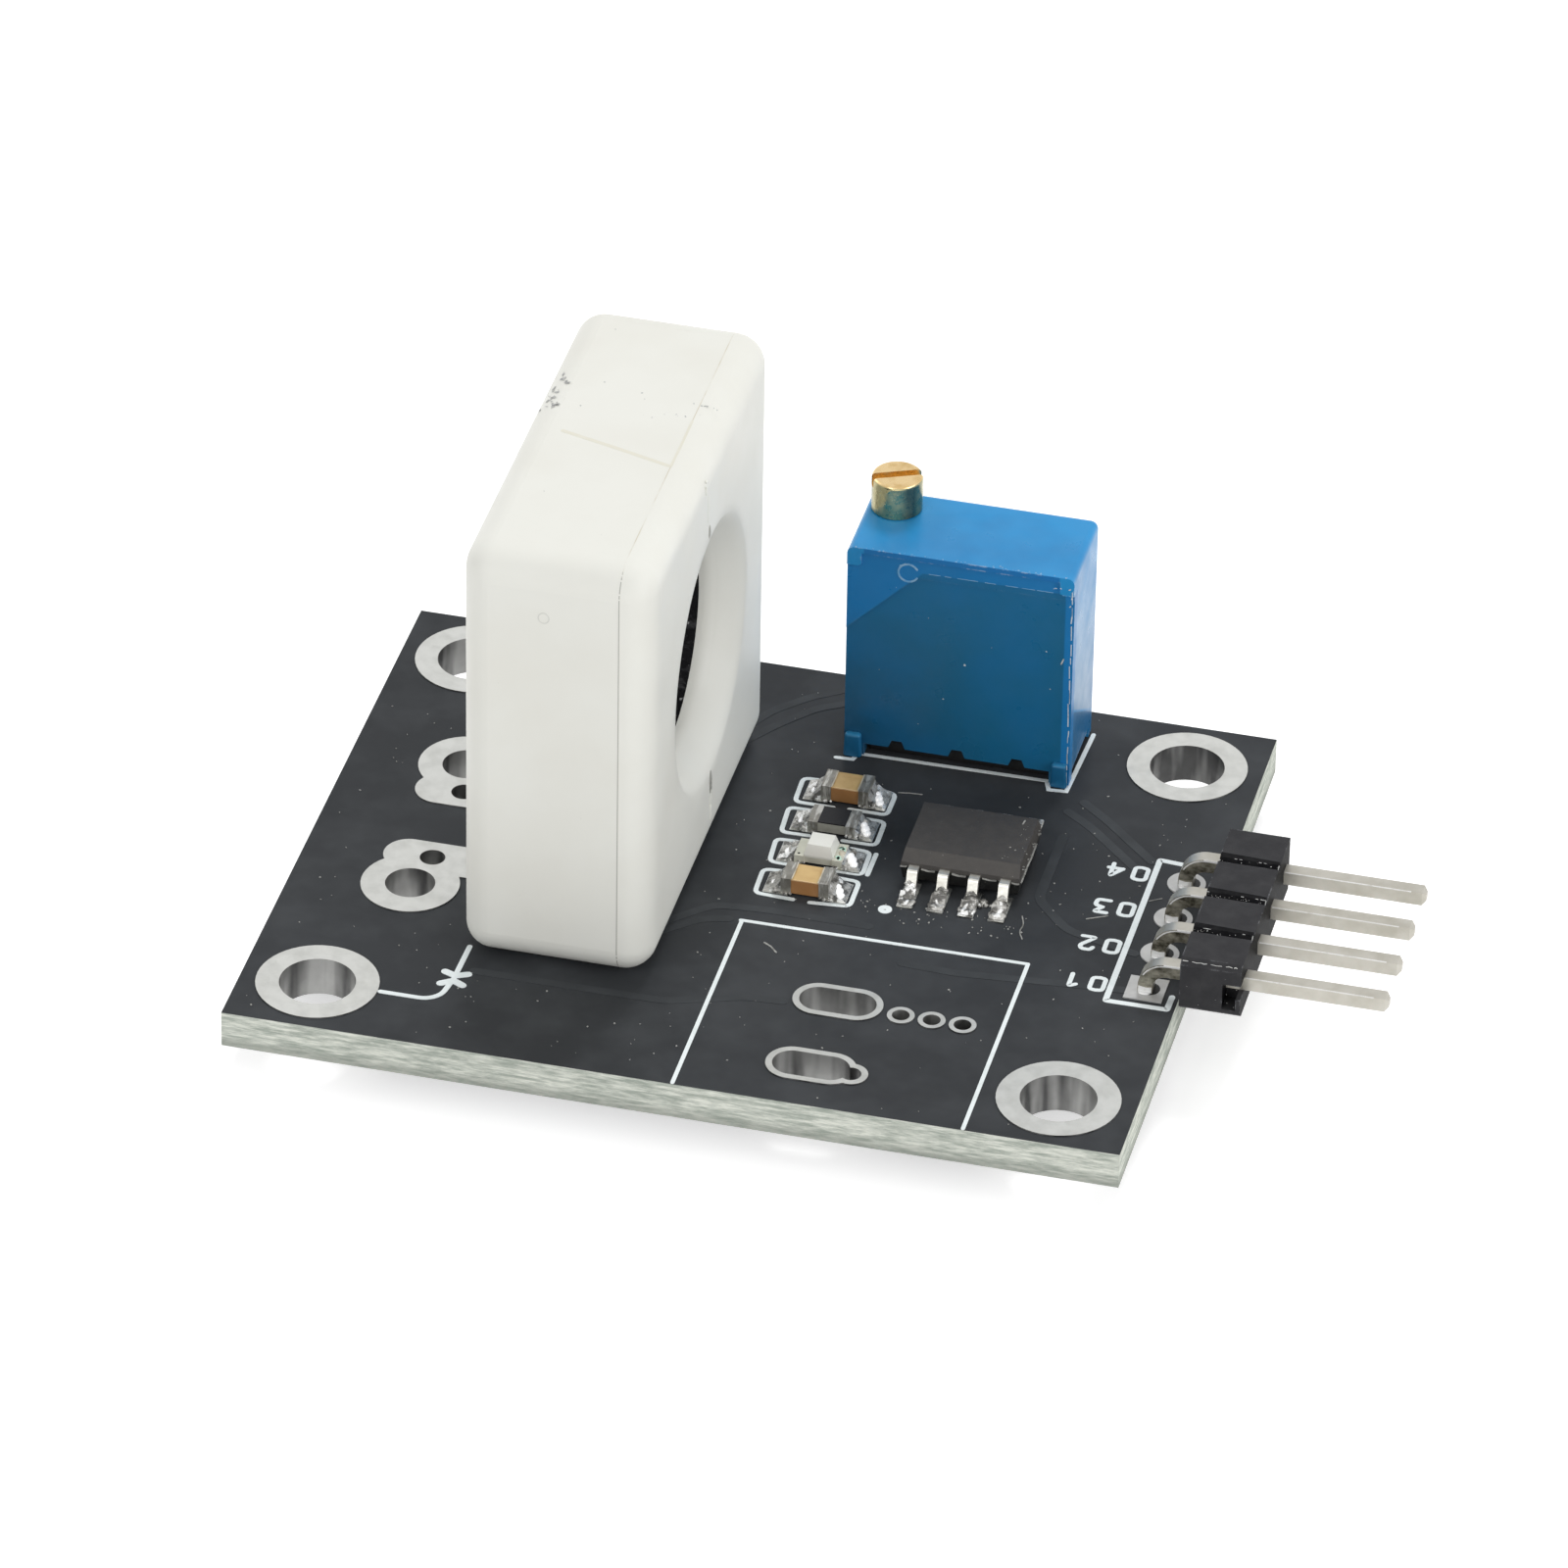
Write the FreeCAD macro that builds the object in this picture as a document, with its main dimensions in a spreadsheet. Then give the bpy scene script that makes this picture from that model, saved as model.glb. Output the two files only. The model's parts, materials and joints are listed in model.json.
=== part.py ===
import FreeCAD, Part
import math
import os
import Sketcher

# Hall effect current sensor module, in millimetres.
# The origin is the middle of the four mounting holes, on the underside of the circuit board.
# +X points to the pin header, +Y to the trimmer's side and +Z up, away from the board.

# Driving dimensions
SIZES = {
    # circuit board and its mounting holes
    "board_width": 36.8,
    "board_depth": 30.0,
    "board_thick": 1.6,
    "mount_from_sides": 3.15,
    "mount_from_ends": 3.0,
    "mount_hole": 3.1,
    "mount_ring": 5.0,
    "plating": 0.06,
    # lug pads beside the sensor, one in front of the middle line and one behind it
    "lug_to_sensor": 3.3,
    "lug_spread": 4.4,
    "lug_hole": 2.05,
    "lug_ring": 4.05,
    "lug_strip_spread": 2.43,
    "lug_strip_width": 2.1,
    "lug_strip_to_sensor": 4.95,
    "lug_strip_length": 6.6,
    "pilot_to_sensor": 2.9,
    "pilot_hole": 1.05,
    # spare footprint in the front half of the board
    "slot_from_right": 13.15,
    "slot_back_from_front": 7.1,
    "slot_front_from_front": 2.6,
    "slot_length": 3.16,
    "slot_width": 1.6,
    "slot_rim": 0.27,
    "slot_lobe_shift_x": 1.66,
    "slot_lobe_shift_y": 0.15,
    "slot_lobe_hole": 0.85,
    "spare_pin_from_right": 9.23,
    "spare_pin_from_front": 6.85,
    "spare_pin_pitch": 1.27,
    "spare_pin_hole": 0.72,
    "spare_pin_pad": 1.12,
    # current sensor block
    "sensor_to_trimmer": 3.63,
    "sensor_shift_y": 0.9,
    "case_thick": 7.85,
    "case_depth": 19.4,
    "case_height": 19.5,
    "case_corner": 1.35,
    "case_back_edge": 1.15,
    "case_wall": 1.1,
    "case_back": 1.0,
    "cover_thick": 1.35,
    "cover_edge": 1.3,
    "bore": 9.0,
    "mouth_edge": 1.28,
    "mouth_round": 0.85,
    "collar_length": 0.3,
    "collar_wall": 0.6,
    "core_lining": 0.8,
    "core_gap": 0.4,
    "core_end_gap": 0.475,
    "core_corner": 3.5,
    "hall_thick": 1.6,
    "hall_inset": 0.25,
    "hall_side_inset": 0.15,
    "sensor_lead": 0.4,
    "sensor_lead_pitch": 1.27,
    "lead_slot_gap": 0.4,
    "sensor_lead_hole": 0.6,
    "sensor_lead_pad": 0.95,
    # leads below the board, all cut to one length
    "tail": 1.5,
    "solder_height": 0.8,
    "solder_tip": 0.12,
    # trimmer
    "trimmer_from_right": 7.59,
    "trimmer_from_back": 1.1,
    "trimmer_width": 9.53,
    "trimmer_depth": 4.7,
    "trimmer_height": 10.27,
    "trimmer_corner": 0.35,
    "trimmer_roof_edge": 0.3,
    "trimmer_wall": 0.5,
    "trimmer_top": 0.8,
    "trimmer_back": 0.45,
    "trimmer_foot": 0.85,
    "trimmer_foot_height": 0.45,
    "panel_thick": 0.6,
    "panel_recess": 0.12,
    "panel_lift": 0.55,
    "panel_rise": 0.25,
    "panel_window_depth": 0.06,
    "panel_window_top": 0.9,
    "panel_window_cut": 2.9,
    "ear_width": 0.6,
    "ear_height": 0.85,
    "notch_width": 0.7,
    "filler_height": 0.75,
    "element_thick": 0.64,
    "element_width": 7.9,
    "element_height": 7.5,
    "trimmer_pitch": 2.54,
    "trimmer_pin": 0.51,
    "trimmer_pin_length": 2.0,
    "trimmer_pin_hole": 0.85,
    "trimmer_pin_pad": 1.5,
    # trimmer screw and worm wheel
    "screw_from_left": 1.27,
    "screw_from_back": 1.3,
    "screw_head": 2.12,
    "screw_head_height": 1.57,
    "screw_slot_width": 0.4,
    "screw_slot_turn": 24.0,
    "screw_slot_depth": 0.45,
    "screw_shaft": 1.8,
    "screw_root": 0.84,
    "seal_section": 0.26,
    "seal_squeeze": 0.02,
    "seal_from_top": 0.9,
    "boss_depth": 1.4,
    "boss_wall": 0.5,
    "shelf_wall": 0.35,
    "shelf_thick": 0.6,
    "turn_gap": 0.04,
    "face_gap": 0.04,
    "mesh_gap": 0.08,
    "wheel_height": 5.2,
    "wheel_teeth": 30,
    "wheel_outside": 6.2,
    "wheel_thick": 0.8,
    "tooth_top": 0.12,
    "tooth_bottom": 0.25,
    "thread_top": 0.12,
    "thread_bottom": 0.26,
    "thread_half_turns": 2,
    "pivot": 1.4,
    "pivot_shoulder": 2.6,
    "wiper_disc": 3.6,
    "wiper_thick": 0.12,
    "wiper_arm": 0.5,
    # pin header
    "header_inset": 1.4,
    "header_pitch": 2.54,
    "header_pins": 4,
    "header_rise": 1.25,
    "header_gap": 0.15,
    "header_block": 2.5,
    "header_groove_width": 0.56,
    "header_groove_depth": 0.25,
    "header_short_end": 0.45,
    "header_short_front": 0.2,
    "header_pin": 0.6,
    "header_pin_reach": 5.87,
    "header_bend": 0.55,
    "header_pin_hole": 0.98,
    "header_pin_pad": 1.58,
    "pin_chamfer": 0.16,
    "loss_length": 0.75,
    "loss_skin": 0.2,
    "loss_depth": 0.95,
    "loss_height": 0.85,
    # amplifier in its eight-lead package
    "amplifier_from_right": 10.22,
    "amplifier_to_trimmer": 6.3,
    "amplifier_length": 5.0,
    "amplifier_width": 3.9,
    "amplifier_lower": 0.62,
    "amplifier_upper": 0.62,
    "amplifier_lift": 0.13,
    "amplifier_draft": 0.1,
    "amplifier_bevel": 0.36,
    "amplifier_pitch": 1.27,
    "amplifier_span": 6.0,
    "gull_thick": 0.2,
    "gull_width": 0.42,
    "gull_foot": 0.62,
    "gull_shoulder": 0.38,
    "gull_bend": 0.12,
    "amplifier_pad_spread": 2.85,
    "amplifier_pad_length": 1.8,
    "amplifier_pad_width": 0.66,
    # chip parts, in four rows
    "chip_from_right": 16.2,
    "chip_to_trimmer": 2.9,
    "chip_row_pitch": 2.28,
    "chip_length": 2.0,
    "chip_width": 1.25,
    "chip_end": 0.42,
    "capacitor_height": 0.74,
    "resistor_height": 0.5,
    "resistor_film": 0.05,
    "lamp_base_height": 0.35,
    "lens_height": 0.55,
    "lens_length": 1.25,
    "lens_draft": 0.14,
    "end_skin": 0.04,
    "chip_pad_length": 1.05,
    "chip_pad_width": 1.42,
    "chip_pad_spread": 1.22,
}

doc = FreeCAD.newDocument("hall_effect_current_sensor")
sheet = doc.addObject("Spreadsheet::Sheet", "sizes")
for line, (alias, number) in enumerate(SIZES.items(), start=1):
    sheet.set("A%d" % line, alias)
    sheet.set("B%d" % line, str(number))
    sheet.setAlias("B%d" % line, alias)
doc.recompute()


class Size:
    """A length worked out from the sheet: its number now, and the formula that gives it."""

    def __init__(self, number, formula):
        self.number = number
        self.formula = formula

    def join(self, sign, left, right):
        return Size(self.work(sign, left.number, right.number),
                    "(%s %s %s)" % (left.formula, sign, right.formula))

    @staticmethod
    def work(sign, left, right):
        if sign == "+":
            return left + right
        if sign == "-":
            return left - right
        if sign == "*":
            return left * right
        return left / right

    def __add__(self, other):
        return self.join("+", self, as_size(other))

    def __radd__(self, other):
        return self.join("+", as_size(other), self)

    def __sub__(self, other):
        return self.join("-", self, as_size(other))

    def __rsub__(self, other):
        return self.join("-", as_size(other), self)

    def __mul__(self, other):
        return self.join("*", self, as_size(other))

    def __rmul__(self, other):
        return self.join("*", as_size(other), self)

    def __truediv__(self, other):
        return self.join("/", self, as_size(other))

    def __rtruediv__(self, other):
        return self.join("/", as_size(other), self)

    def __neg__(self):
        return self.join("*", as_size(-1), self)


def as_size(value):
    if isinstance(value, Size):
        return value
    return Size(float(value), repr(float(value)))


class Dimensions:
    """The sheet's cells, read by name."""

    def __getattr__(self, alias):
        return Size(float(sheet.get(alias)), "sizes.%s" % alias)


d = Dimensions()
PI = Size(math.pi, "pi")
V = FreeCAD.Vector
NODES = []
TURN_TO = {
    "x": FreeCAD.Rotation(V(0, 1, 0), 90),
    "y": FreeCAD.Rotation(V(1, 0, 0), -90),
    "z": FreeCAD.Rotation(),
}


def node(thing, label):
    """Name a finished sub-part; its label is its file's name."""
    thing.Label = label
    NODES.append(thing)
    return thing


def bind(thing, prop, size):
    thing.setExpression(prop, as_size(size).formula)


def put(thing, x, y, z, rotation=None):
    """Place a thing by three lengths of the sheet."""
    numbers = [as_size(value).number for value in (x, y, z)]
    thing.Placement = FreeCAD.Placement(V(*numbers), rotation or FreeCAD.Rotation())
    for axis, value in zip("xyz", (x, y, z)):
        bind(thing, "Placement.Base.%s" % axis, value)
    return thing


# Solids from primitives and booleans

def box(x, y, z, dx, dy, dz):
    solid = doc.addObject("Part::Box", "Block")
    bind(solid, "Length", dx)
    bind(solid, "Width", dy)
    bind(solid, "Height", dz)
    return put(solid, x, y, z)


def rod(x, y, z, diameter, length, axis="z"):
    solid = doc.addObject("Part::Cylinder", "Rod")
    bind(solid, "Radius", as_size(diameter) / 2)
    bind(solid, "Height", length)
    return put(solid, x, y, z, TURN_TO[axis])


def taper(x, y, z, diameter, end_diameter, length):
    solid = doc.addObject("Part::Cone", "Taper")
    bind(solid, "Radius1", as_size(diameter) / 2)
    bind(solid, "Radius2", as_size(end_diameter) / 2)
    bind(solid, "Height", length)
    return put(solid, x, y, z)


def drafted(x, y, z, width, depth, height, draft, upward=True):
    """A block centred on x and y that narrows by its draft as it rises, or as it goes down."""
    solid = doc.addObject("Part::Wedge", "Drafted")
    bind(solid, "Xmin", 0 - width / 2)
    bind(solid, "Xmax", width / 2)
    bind(solid, "Ymin", 0)
    bind(solid, "Ymax", height)
    bind(solid, "Zmin", 0 - depth / 2)
    bind(solid, "Zmax", depth / 2)
    bind(solid, "X2min", draft - width / 2)
    bind(solid, "X2max", width / 2 - draft)
    bind(solid, "Z2min", draft - depth / 2)
    bind(solid, "Z2max", depth / 2 - draft)
    return put(solid, x, y, z, FreeCAD.Rotation(V(1, 0, 0), 90 if upward else -90))


def fuse(parts):
    if len(parts) == 1:
        return parts[0]
    solid = doc.addObject("Part::MultiFuse", "Union")
    solid.Shapes = parts
    solid.Refine = True
    return solid


def group(parts):
    """Like pieces that lie apart, as one sub-part."""
    whole = doc.addObject("Part::Compound", "Set")
    whole.Links = parts
    return whole


def cut(base, tools):
    solid = doc.addObject("Part::Cut", "Difference")
    solid.Base = base
    solid.Tool = fuse(tools)
    return solid


def slot_block(x, y, z, length, width, height):
    """An upright block with round ends, long along X."""
    reach = (length - width) / 2
    return fuse([box(x - reach, y - width / 2, z, reach * 2, width, height),
                 rod(x - reach, y, z, width, height),
                 rod(x + reach, y, z, width, height)])


# Sketches and features of a body

def body():
    return doc.addObject("PartDesign::Body", "Body")


def sketch(owner, role, lift=None):
    """An empty sketch on one of the body's own planes, or lifted off it."""
    plane = [item for item in owner.Origin.OriginFeatures if item.Role == role][0]
    outline = owner.newObject("Sketcher::SketchObject", "Outline")
    outline.AttachmentSupport = [(plane, "")]
    outline.MapMode = "FlatFace"
    if isinstance(lift, Size):
        bind(outline, "AttachmentOffset.Base.z", lift)
    return outline


def hold(outline, kind, item, spot, value):
    """Keep one distance from the sketch's origin equal to a length of the sheet."""
    value = as_size(value)
    index = outline.addConstraint(Sketcher.Constraint(kind, -1, 1, item, spot, value.number))
    outline.setExpression("Constraints[%d]" % index, value.formula)


def polygon(outline, corners):
    corners = [(as_size(x), as_size(y)) for x, y in corners]
    first = outline.GeometryCount
    count = len(corners)
    ends = [V(x.number, y.number, 0) for x, y in corners]
    for step in range(count):
        outline.addGeometry(Part.LineSegment(ends[step], ends[(step + 1) % count]), False)
    for step in range(count):
        follower = first + (step + 1) % count
        outline.addConstraint(Sketcher.Constraint("Coincident", first + step, 2, follower, 1))
    for step, (x, y) in enumerate(corners):
        hold(outline, "DistanceX", first + step, 1, x)
        hold(outline, "DistanceY", first + step, 1, y)
    return outline


def rectangle(outline, width, height):
    half_width = width / 2
    half_height = height / 2
    return polygon(outline, [(-half_width, -half_height), (half_width, -half_height),
                             (half_width, half_height), (-half_width, half_height)])


def circle(outline, x, y, diameter):
    x, y, radius = as_size(x), as_size(y), as_size(diameter) / 2
    item = outline.addGeometry(Part.Circle(V(x.number, y.number, 0), V(0, 0, 1), radius.number), False)
    hold(outline, "DistanceX", item, 3, x)
    hold(outline, "DistanceY", item, 3, y)
    index = outline.addConstraint(Sketcher.Constraint("Radius", item, radius.number))
    outline.setExpression("Constraints[%d]" % index, radius.formula)
    return outline


def pad(owner, outline, length, reverse=False, both_ways=False):
    feature = owner.newObject("PartDesign::Pad", "Pad")
    feature.Profile = outline
    bind(feature, "Length", length)
    feature.Reversed = reverse
    if both_ways:
        feature.SideType = "Symmetric"
    doc.recompute()
    return feature


def pocket(owner, outline, length, both_ways=False):
    """Cut a sketch into the solid, towards its plane's normal or both ways from it."""
    feature = owner.newObject("PartDesign::Pocket", "Pocket")
    feature.Profile = outline
    bind(feature, "Length", length)
    feature.Reversed = True
    if both_ways:
        feature.SideType = "Symmetric"
    doc.recompute()
    return feature


def turned(owner, outline, cutting=False):
    kind = "PartDesign::Groove" if cutting else "PartDesign::Revolution"
    feature = owner.newObject(kind, "Turned")
    feature.Profile = outline
    feature.ReferenceAxis = (outline, ["V_Axis"])
    feature.Angle = 360
    doc.recompute()
    return feature


def edges_of(feature, wanted):
    """Names of the edges that a test picks, by each edge's own bounding box."""
    return ["Edge%d" % number for number, edge in enumerate(feature.Shape.Edges, start=1)
            if wanted(edge.BoundBox)]


def soften(owner, feature, wanted, radius, bevelled=False):
    """Round, or bevel, the edges that a test picks."""
    names = edges_of(feature, wanted)
    if not names:
        raise ValueError("no edge to soften on " + owner.Name)
    softer = owner.newObject("PartDesign::Chamfer" if bevelled else "PartDesign::Fillet", "Softer")
    softer.Base = (feature, names)
    bind(softer, "Size" if bevelled else "Radius", radius)
    doc.recompute()
    return softer


NEAR = 1e-4


def along_x(bounds):
    return bounds.YLength < NEAR and bounds.ZLength < NEAR


def along_y(bounds):
    return bounds.XLength < NEAR and bounds.ZLength < NEAR


def at_x(bounds, place):
    return abs(bounds.XMin - place) < NEAR and abs(bounds.XMax - place) < NEAR


# Heights and places that several pieces share
board_top = d.board_thick
pad_top = board_top + d.plating
left_edge = 0 - d.board_width / 2
right_edge = d.board_width / 2
front_edge = 0 - d.board_depth / 2
back_edge = d.board_depth / 2
tail_end = 0 - d.tail

trimmer_right = right_edge - d.trimmer_from_right
trimmer_left = trimmer_right - d.trimmer_width
trimmer_rear = back_edge - d.trimmer_from_back
trimmer_front = trimmer_rear - d.trimmer_depth
trimmer_roof = pad_top + d.trimmer_height
trimmer_x = (trimmer_left + trimmer_right) / 2
panel_front = trimmer_front + d.panel_recess
panel_rear = panel_front + d.panel_thick
element_rear = panel_rear + d.element_thick
trimmer_pin_y = element_rear + d.trimmer_pin / 2
filler_bottom = pad_top + d.panel_lift

sensor_front_x = trimmer_left - d.sensor_to_trimmer
sensor_back_x = sensor_front_x - d.case_thick
sensor_seam_x = sensor_front_x - d.cover_thick
sensor_y = d.sensor_shift_y
sensor_z = pad_top + d.case_height / 2
core_start_x = sensor_back_x + d.case_back + d.core_end_gap
core_length = sensor_seam_x - d.core_end_gap - core_start_x
core_x = core_start_x + core_length / 2
core_window = d.bore + d.core_lining * 2
core_depth = d.case_depth - d.case_wall * 2 - d.core_gap * 2
core_height = d.case_height - d.case_wall * 2 - d.core_gap * 2
core_leg = (core_height - core_window) / 2
hall_height = core_leg - d.hall_inset * 2
hall_bottom = sensor_z - core_height / 2 + d.hall_inset

header_row_x = right_edge - d.header_inset
header_face_x = right_edge + d.header_gap
header_outer_x = header_face_x + d.header_block
header_z = board_top + d.header_rise
header_first_y = (Size(round(d.header_pins.number), "round(sizes.header_pins)") - 1) * d.header_pitch / 2

amplifier_x = right_edge - d.amplifier_from_right
amplifier_y = trimmer_front - d.amplifier_to_trimmer
chip_x = right_edge - d.chip_from_right

header_count = int(round(d.header_pins.number))
wheel_teeth = Size(round(d.wheel_teeth.number), "round(sizes.wheel_teeth)")
thread_turns = Size(2 * round(d.thread_half_turns.number) + 1,
                    "(2 * round(sizes.thread_half_turns) + 1)")

# Circuit board and its plated holes

hole_cuts = []


def plating_rod(x, y, hole):
    """The tube of plating through the board, as a solid rod that also cuts the board."""
    wide = hole + d.plating * 2
    through = rod(x, y, -d.plating, wide, d.board_thick + d.plating * 2)
    hole_cuts.append(through)
    return through


def bore_rod(x, y, hole):
    return rod(x, y, 0 - d.plating * 2, hole, d.board_thick + d.plating * 4)


def top_pad(x, y, across, square=False):
    if square:
        return box(x - across / 2, y - across / 2, board_top, across, across, d.plating)
    return rod(x, y, board_top, across, d.plating)


def pad_pair(make):
    """One pad on the board's top and one on its underside."""
    return [make(board_top, d.plating), make(-d.plating, d.plating)]


def round_pads(x, y, across):
    return pad_pair(lambda z, thick: rod(x, y, z, across, thick))


def plated_hole(x, y, hole, across):
    return cut(fuse([plating_rod(x, y, hole)] + round_pads(x, y, across)), [bore_rod(x, y, hole)])


def mounting_rings():
    rings = []
    for side_x in (-1, 1):
        for side_y in (-1, 1):
            x = (d.board_width / 2 - d.mount_from_sides) * side_x
            y = (d.board_depth / 2 - d.mount_from_ends) * side_y
            rings.append(plated_hole(x, y, d.mount_hole, d.mount_ring))
    node(group(rings), "mounting_rings")


def lug_pad(side):
    """A ring for a cable lug, joined to a strip that runs under the sensor."""
    ring_x = sensor_back_x - d.lug_to_sensor
    ring_y = d.lug_spread * side
    pilot_x = sensor_back_x - d.pilot_to_sensor
    strip_y = d.lug_strip_spread * side
    strip_x = sensor_back_x - d.lug_strip_to_sensor + d.lug_strip_length / 2
    strips = pad_pair(lambda z, thick: slot_block(strip_x, strip_y, z, d.lug_strip_length,
                                                  d.lug_strip_width, thick))
    metal = fuse([plating_rod(ring_x, ring_y, d.lug_hole), plating_rod(pilot_x, strip_y, d.pilot_hole)]
                 + round_pads(ring_x, ring_y, d.lug_ring) + strips)
    holes = [bore_rod(ring_x, ring_y, d.lug_hole), bore_rod(pilot_x, strip_y, d.pilot_hole)]
    return cut(metal, holes)


def slot_pad(y, with_lobe):
    """A long plated slot; the front one has a round hole run into its end."""
    x = right_edge - d.slot_from_right
    skin = d.plating * 2
    through = slot_block(x, y, -d.plating, d.slot_length + skin, d.slot_width + skin,
                         d.board_thick + skin)
    hole_cuts.append(through)
    rim = d.slot_rim * 2
    pads = pad_pair(lambda z, thick: slot_block(x, y, z, d.slot_length + rim, d.slot_width + rim, thick))
    holes = [slot_block(x, y, -skin, d.slot_length, d.slot_width, d.board_thick + skin * 2)]
    metal = [through] + pads
    if with_lobe:
        lobe_x = x + d.slot_lobe_shift_x
        lobe_y = y - d.slot_lobe_shift_y
        metal.append(plating_rod(lobe_x, lobe_y, d.slot_lobe_hole))
        metal.extend(round_pads(lobe_x, lobe_y, d.slot_lobe_hole + rim))
        holes.append(bore_rod(lobe_x, lobe_y, d.slot_lobe_hole))
    return cut(fuse(metal), holes)


def spare_footprint():
    slots = [slot_pad(front_edge + d.slot_back_from_front, False),
             slot_pad(front_edge + d.slot_front_from_front, True)]
    node(group(slots), "spare_slot_plating")
    pins = []
    for step in range(3):
        x = right_edge - d.spare_pin_from_right + d.spare_pin_pitch * (step - 1)
        y = front_edge + d.spare_pin_from_front
        pins.append(plated_hole(x, y, d.spare_pin_hole, d.spare_pin_pad))
    node(group(pins), "spare_pin_plating")


def sensor_lead_x(step):
    return core_x + d.sensor_lead_pitch * (step - 1)


def trimmer_pin_x(step):
    return trimmer_x + d.trimmer_pitch * (step - 1)


def header_pin_y(step):
    return header_first_y - d.header_pitch * step


def lug_pads():
    node(group([lug_pad(-1), lug_pad(1)]), "lug_pads")


def surface_pads():
    pads = []
    for row in range(4):
        for side in (-1, 1):
            x = chip_x + d.chip_pad_spread * side - d.chip_pad_length / 2
            y = chip_row_y(row) - d.chip_pad_width / 2
            pads.append(box(x, y, board_top, d.chip_pad_length, d.chip_pad_width, d.plating))
    node(group(pads), "chip_pads")
    pads = []
    for side, step in amplifier_lead_places():
        x = amplifier_lead_x(step) - d.amplifier_pad_width / 2
        y = amplifier_y + d.amplifier_pad_spread * side - d.amplifier_pad_length / 2
        pads.append(box(x, y, board_top, d.amplifier_pad_width, d.amplifier_pad_length, d.plating))
    node(group(pads), "amplifier_pads")


def circuit_board():
    outline = box(left_edge, front_edge, 0, d.board_width, d.board_depth, d.board_thick)
    node(cut(outline, hole_cuts), "circuit_board")


# Current sensor: a potted case and cover round a gapped ring core

def sensor_block(start_x, thick):
    """The block's outline, with its four long edges rounded, standing at a place along X."""
    owner = body()
    block = pad(owner, rectangle(sketch(owner, "YZ_Plane"), d.case_depth, d.case_height), thick)
    rounded = soften(owner, block, along_x, d.case_corner)
    put(owner, start_x, sensor_y, sensor_z)
    return owner, rounded


def rim_edges(place):
    return lambda bounds: at_x(bounds, place)


def sensor_case():
    depth = d.case_thick - d.cover_thick
    owner, block = sensor_block(sensor_back_x, depth)
    soften(owner, block, rim_edges(0), d.case_back_edge)
    inside = rectangle(sketch(owner, "YZ_Plane", d.case_back), d.case_depth - d.case_wall * 2,
                       d.case_height - d.case_wall * 2)
    pocket(owner, inside, depth)
    pocket(owner, circle(sketch(owner, "YZ_Plane"), 0, 0, d.bore), depth)
    leads = sketch(owner, "XY_Plane", 0 - d.case_height / 2)
    centre = core_x - sensor_back_x
    half = d.sensor_lead_pitch + d.sensor_lead / 2 + d.lead_slot_gap
    across = d.sensor_lead / 2 + d.lead_slot_gap
    polygon(leads, [(centre - half, -across), (centre + half, -across),
                    (centre + half, across), (centre - half, across)])
    pocket(owner, leads, d.case_wall * 2)
    node(owner, "sensor_case")


def sensor_cover():
    """The front cover; its flared mouth leads into a collar that lines the bore's first part."""
    owner, block = sensor_block(sensor_seam_x, d.cover_thick)
    soften(owner, block, rim_edges(d.cover_thick.number), d.cover_edge)
    start = 0 - d.collar_length
    collar = circle(sketch(owner, "YZ_Plane", start), 0, 0, d.bore + d.collar_wall * 2)
    pad(owner, collar, d.collar_length)
    hole = pocket(owner, circle(sketch(owner, "YZ_Plane", start), 0, 0, d.bore),
                  d.cover_thick + d.collar_length)
    reach = d.bore.number / 2 + NEAR

    def ring_at(place):
        return lambda bounds: at_x(bounds, place) and bounds.YMax < reach and bounds.ZMax < reach

    flare = soften(owner, hole, ring_at(d.cover_thick.number), d.mouth_edge, bevelled=True)
    throat = d.cover_thick - d.mouth_edge
    soften(owner, flare, ring_at(throat.number), d.mouth_round)
    node(owner, "sensor_cover")


def sensor_core():
    """A closed core round the bore, sawn through at the bottom for the hall element."""
    owner = body()
    ring = pad(owner, rectangle(sketch(owner, "YZ_Plane"), core_depth, core_height), core_length)
    soften(owner, ring, along_x, d.core_corner)
    pocket(owner, circle(sketch(owner, "YZ_Plane"), 0, 0, core_window), core_length)
    put(owner, core_start_x, sensor_y, sensor_z)
    gap = box(core_start_x - core_length / 2, sensor_y - d.hall_thick / 2, sensor_z - core_height,
              core_length * 2, d.hall_thick, core_height)
    return node(cut(owner, [gap]), "sensor_core")


def hall_element():
    width = core_length - d.hall_side_inset * 2
    return node(box(core_x - width / 2, sensor_y - d.hall_thick / 2, hall_bottom, width, d.hall_thick,
                    hall_height), "hall_element")


def sensor_leads():
    half = d.sensor_lead / 2
    return [node(box(sensor_lead_x(step) - half, sensor_y - half, tail_end, d.sensor_lead,
                     d.sensor_lead, hall_bottom - tail_end), "sensor_lead_%d" % (step + 1))
            for step in range(3)]


def sensor_potting(core, element, leads):
    width = d.case_depth - d.case_wall * 2
    height = d.case_height - d.case_wall * 2
    start = sensor_back_x + d.case_back
    fill = box(start, sensor_y - width / 2, sensor_z - height / 2, sensor_seam_x - start, width, height)
    tunnel = rod(sensor_back_x, sensor_y, sensor_z, d.bore, d.case_thick, "x")
    collar = rod(sensor_seam_x - d.collar_length, sensor_y, sensor_z, d.bore + d.collar_wall * 2,
                 d.collar_length, "x")
    node(cut(fill, [tunnel, collar, core, element] + leads), "sensor_potting")


# Trimmer: a screw turns a worm wheel that carries the wiper over a ceramic element

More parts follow.
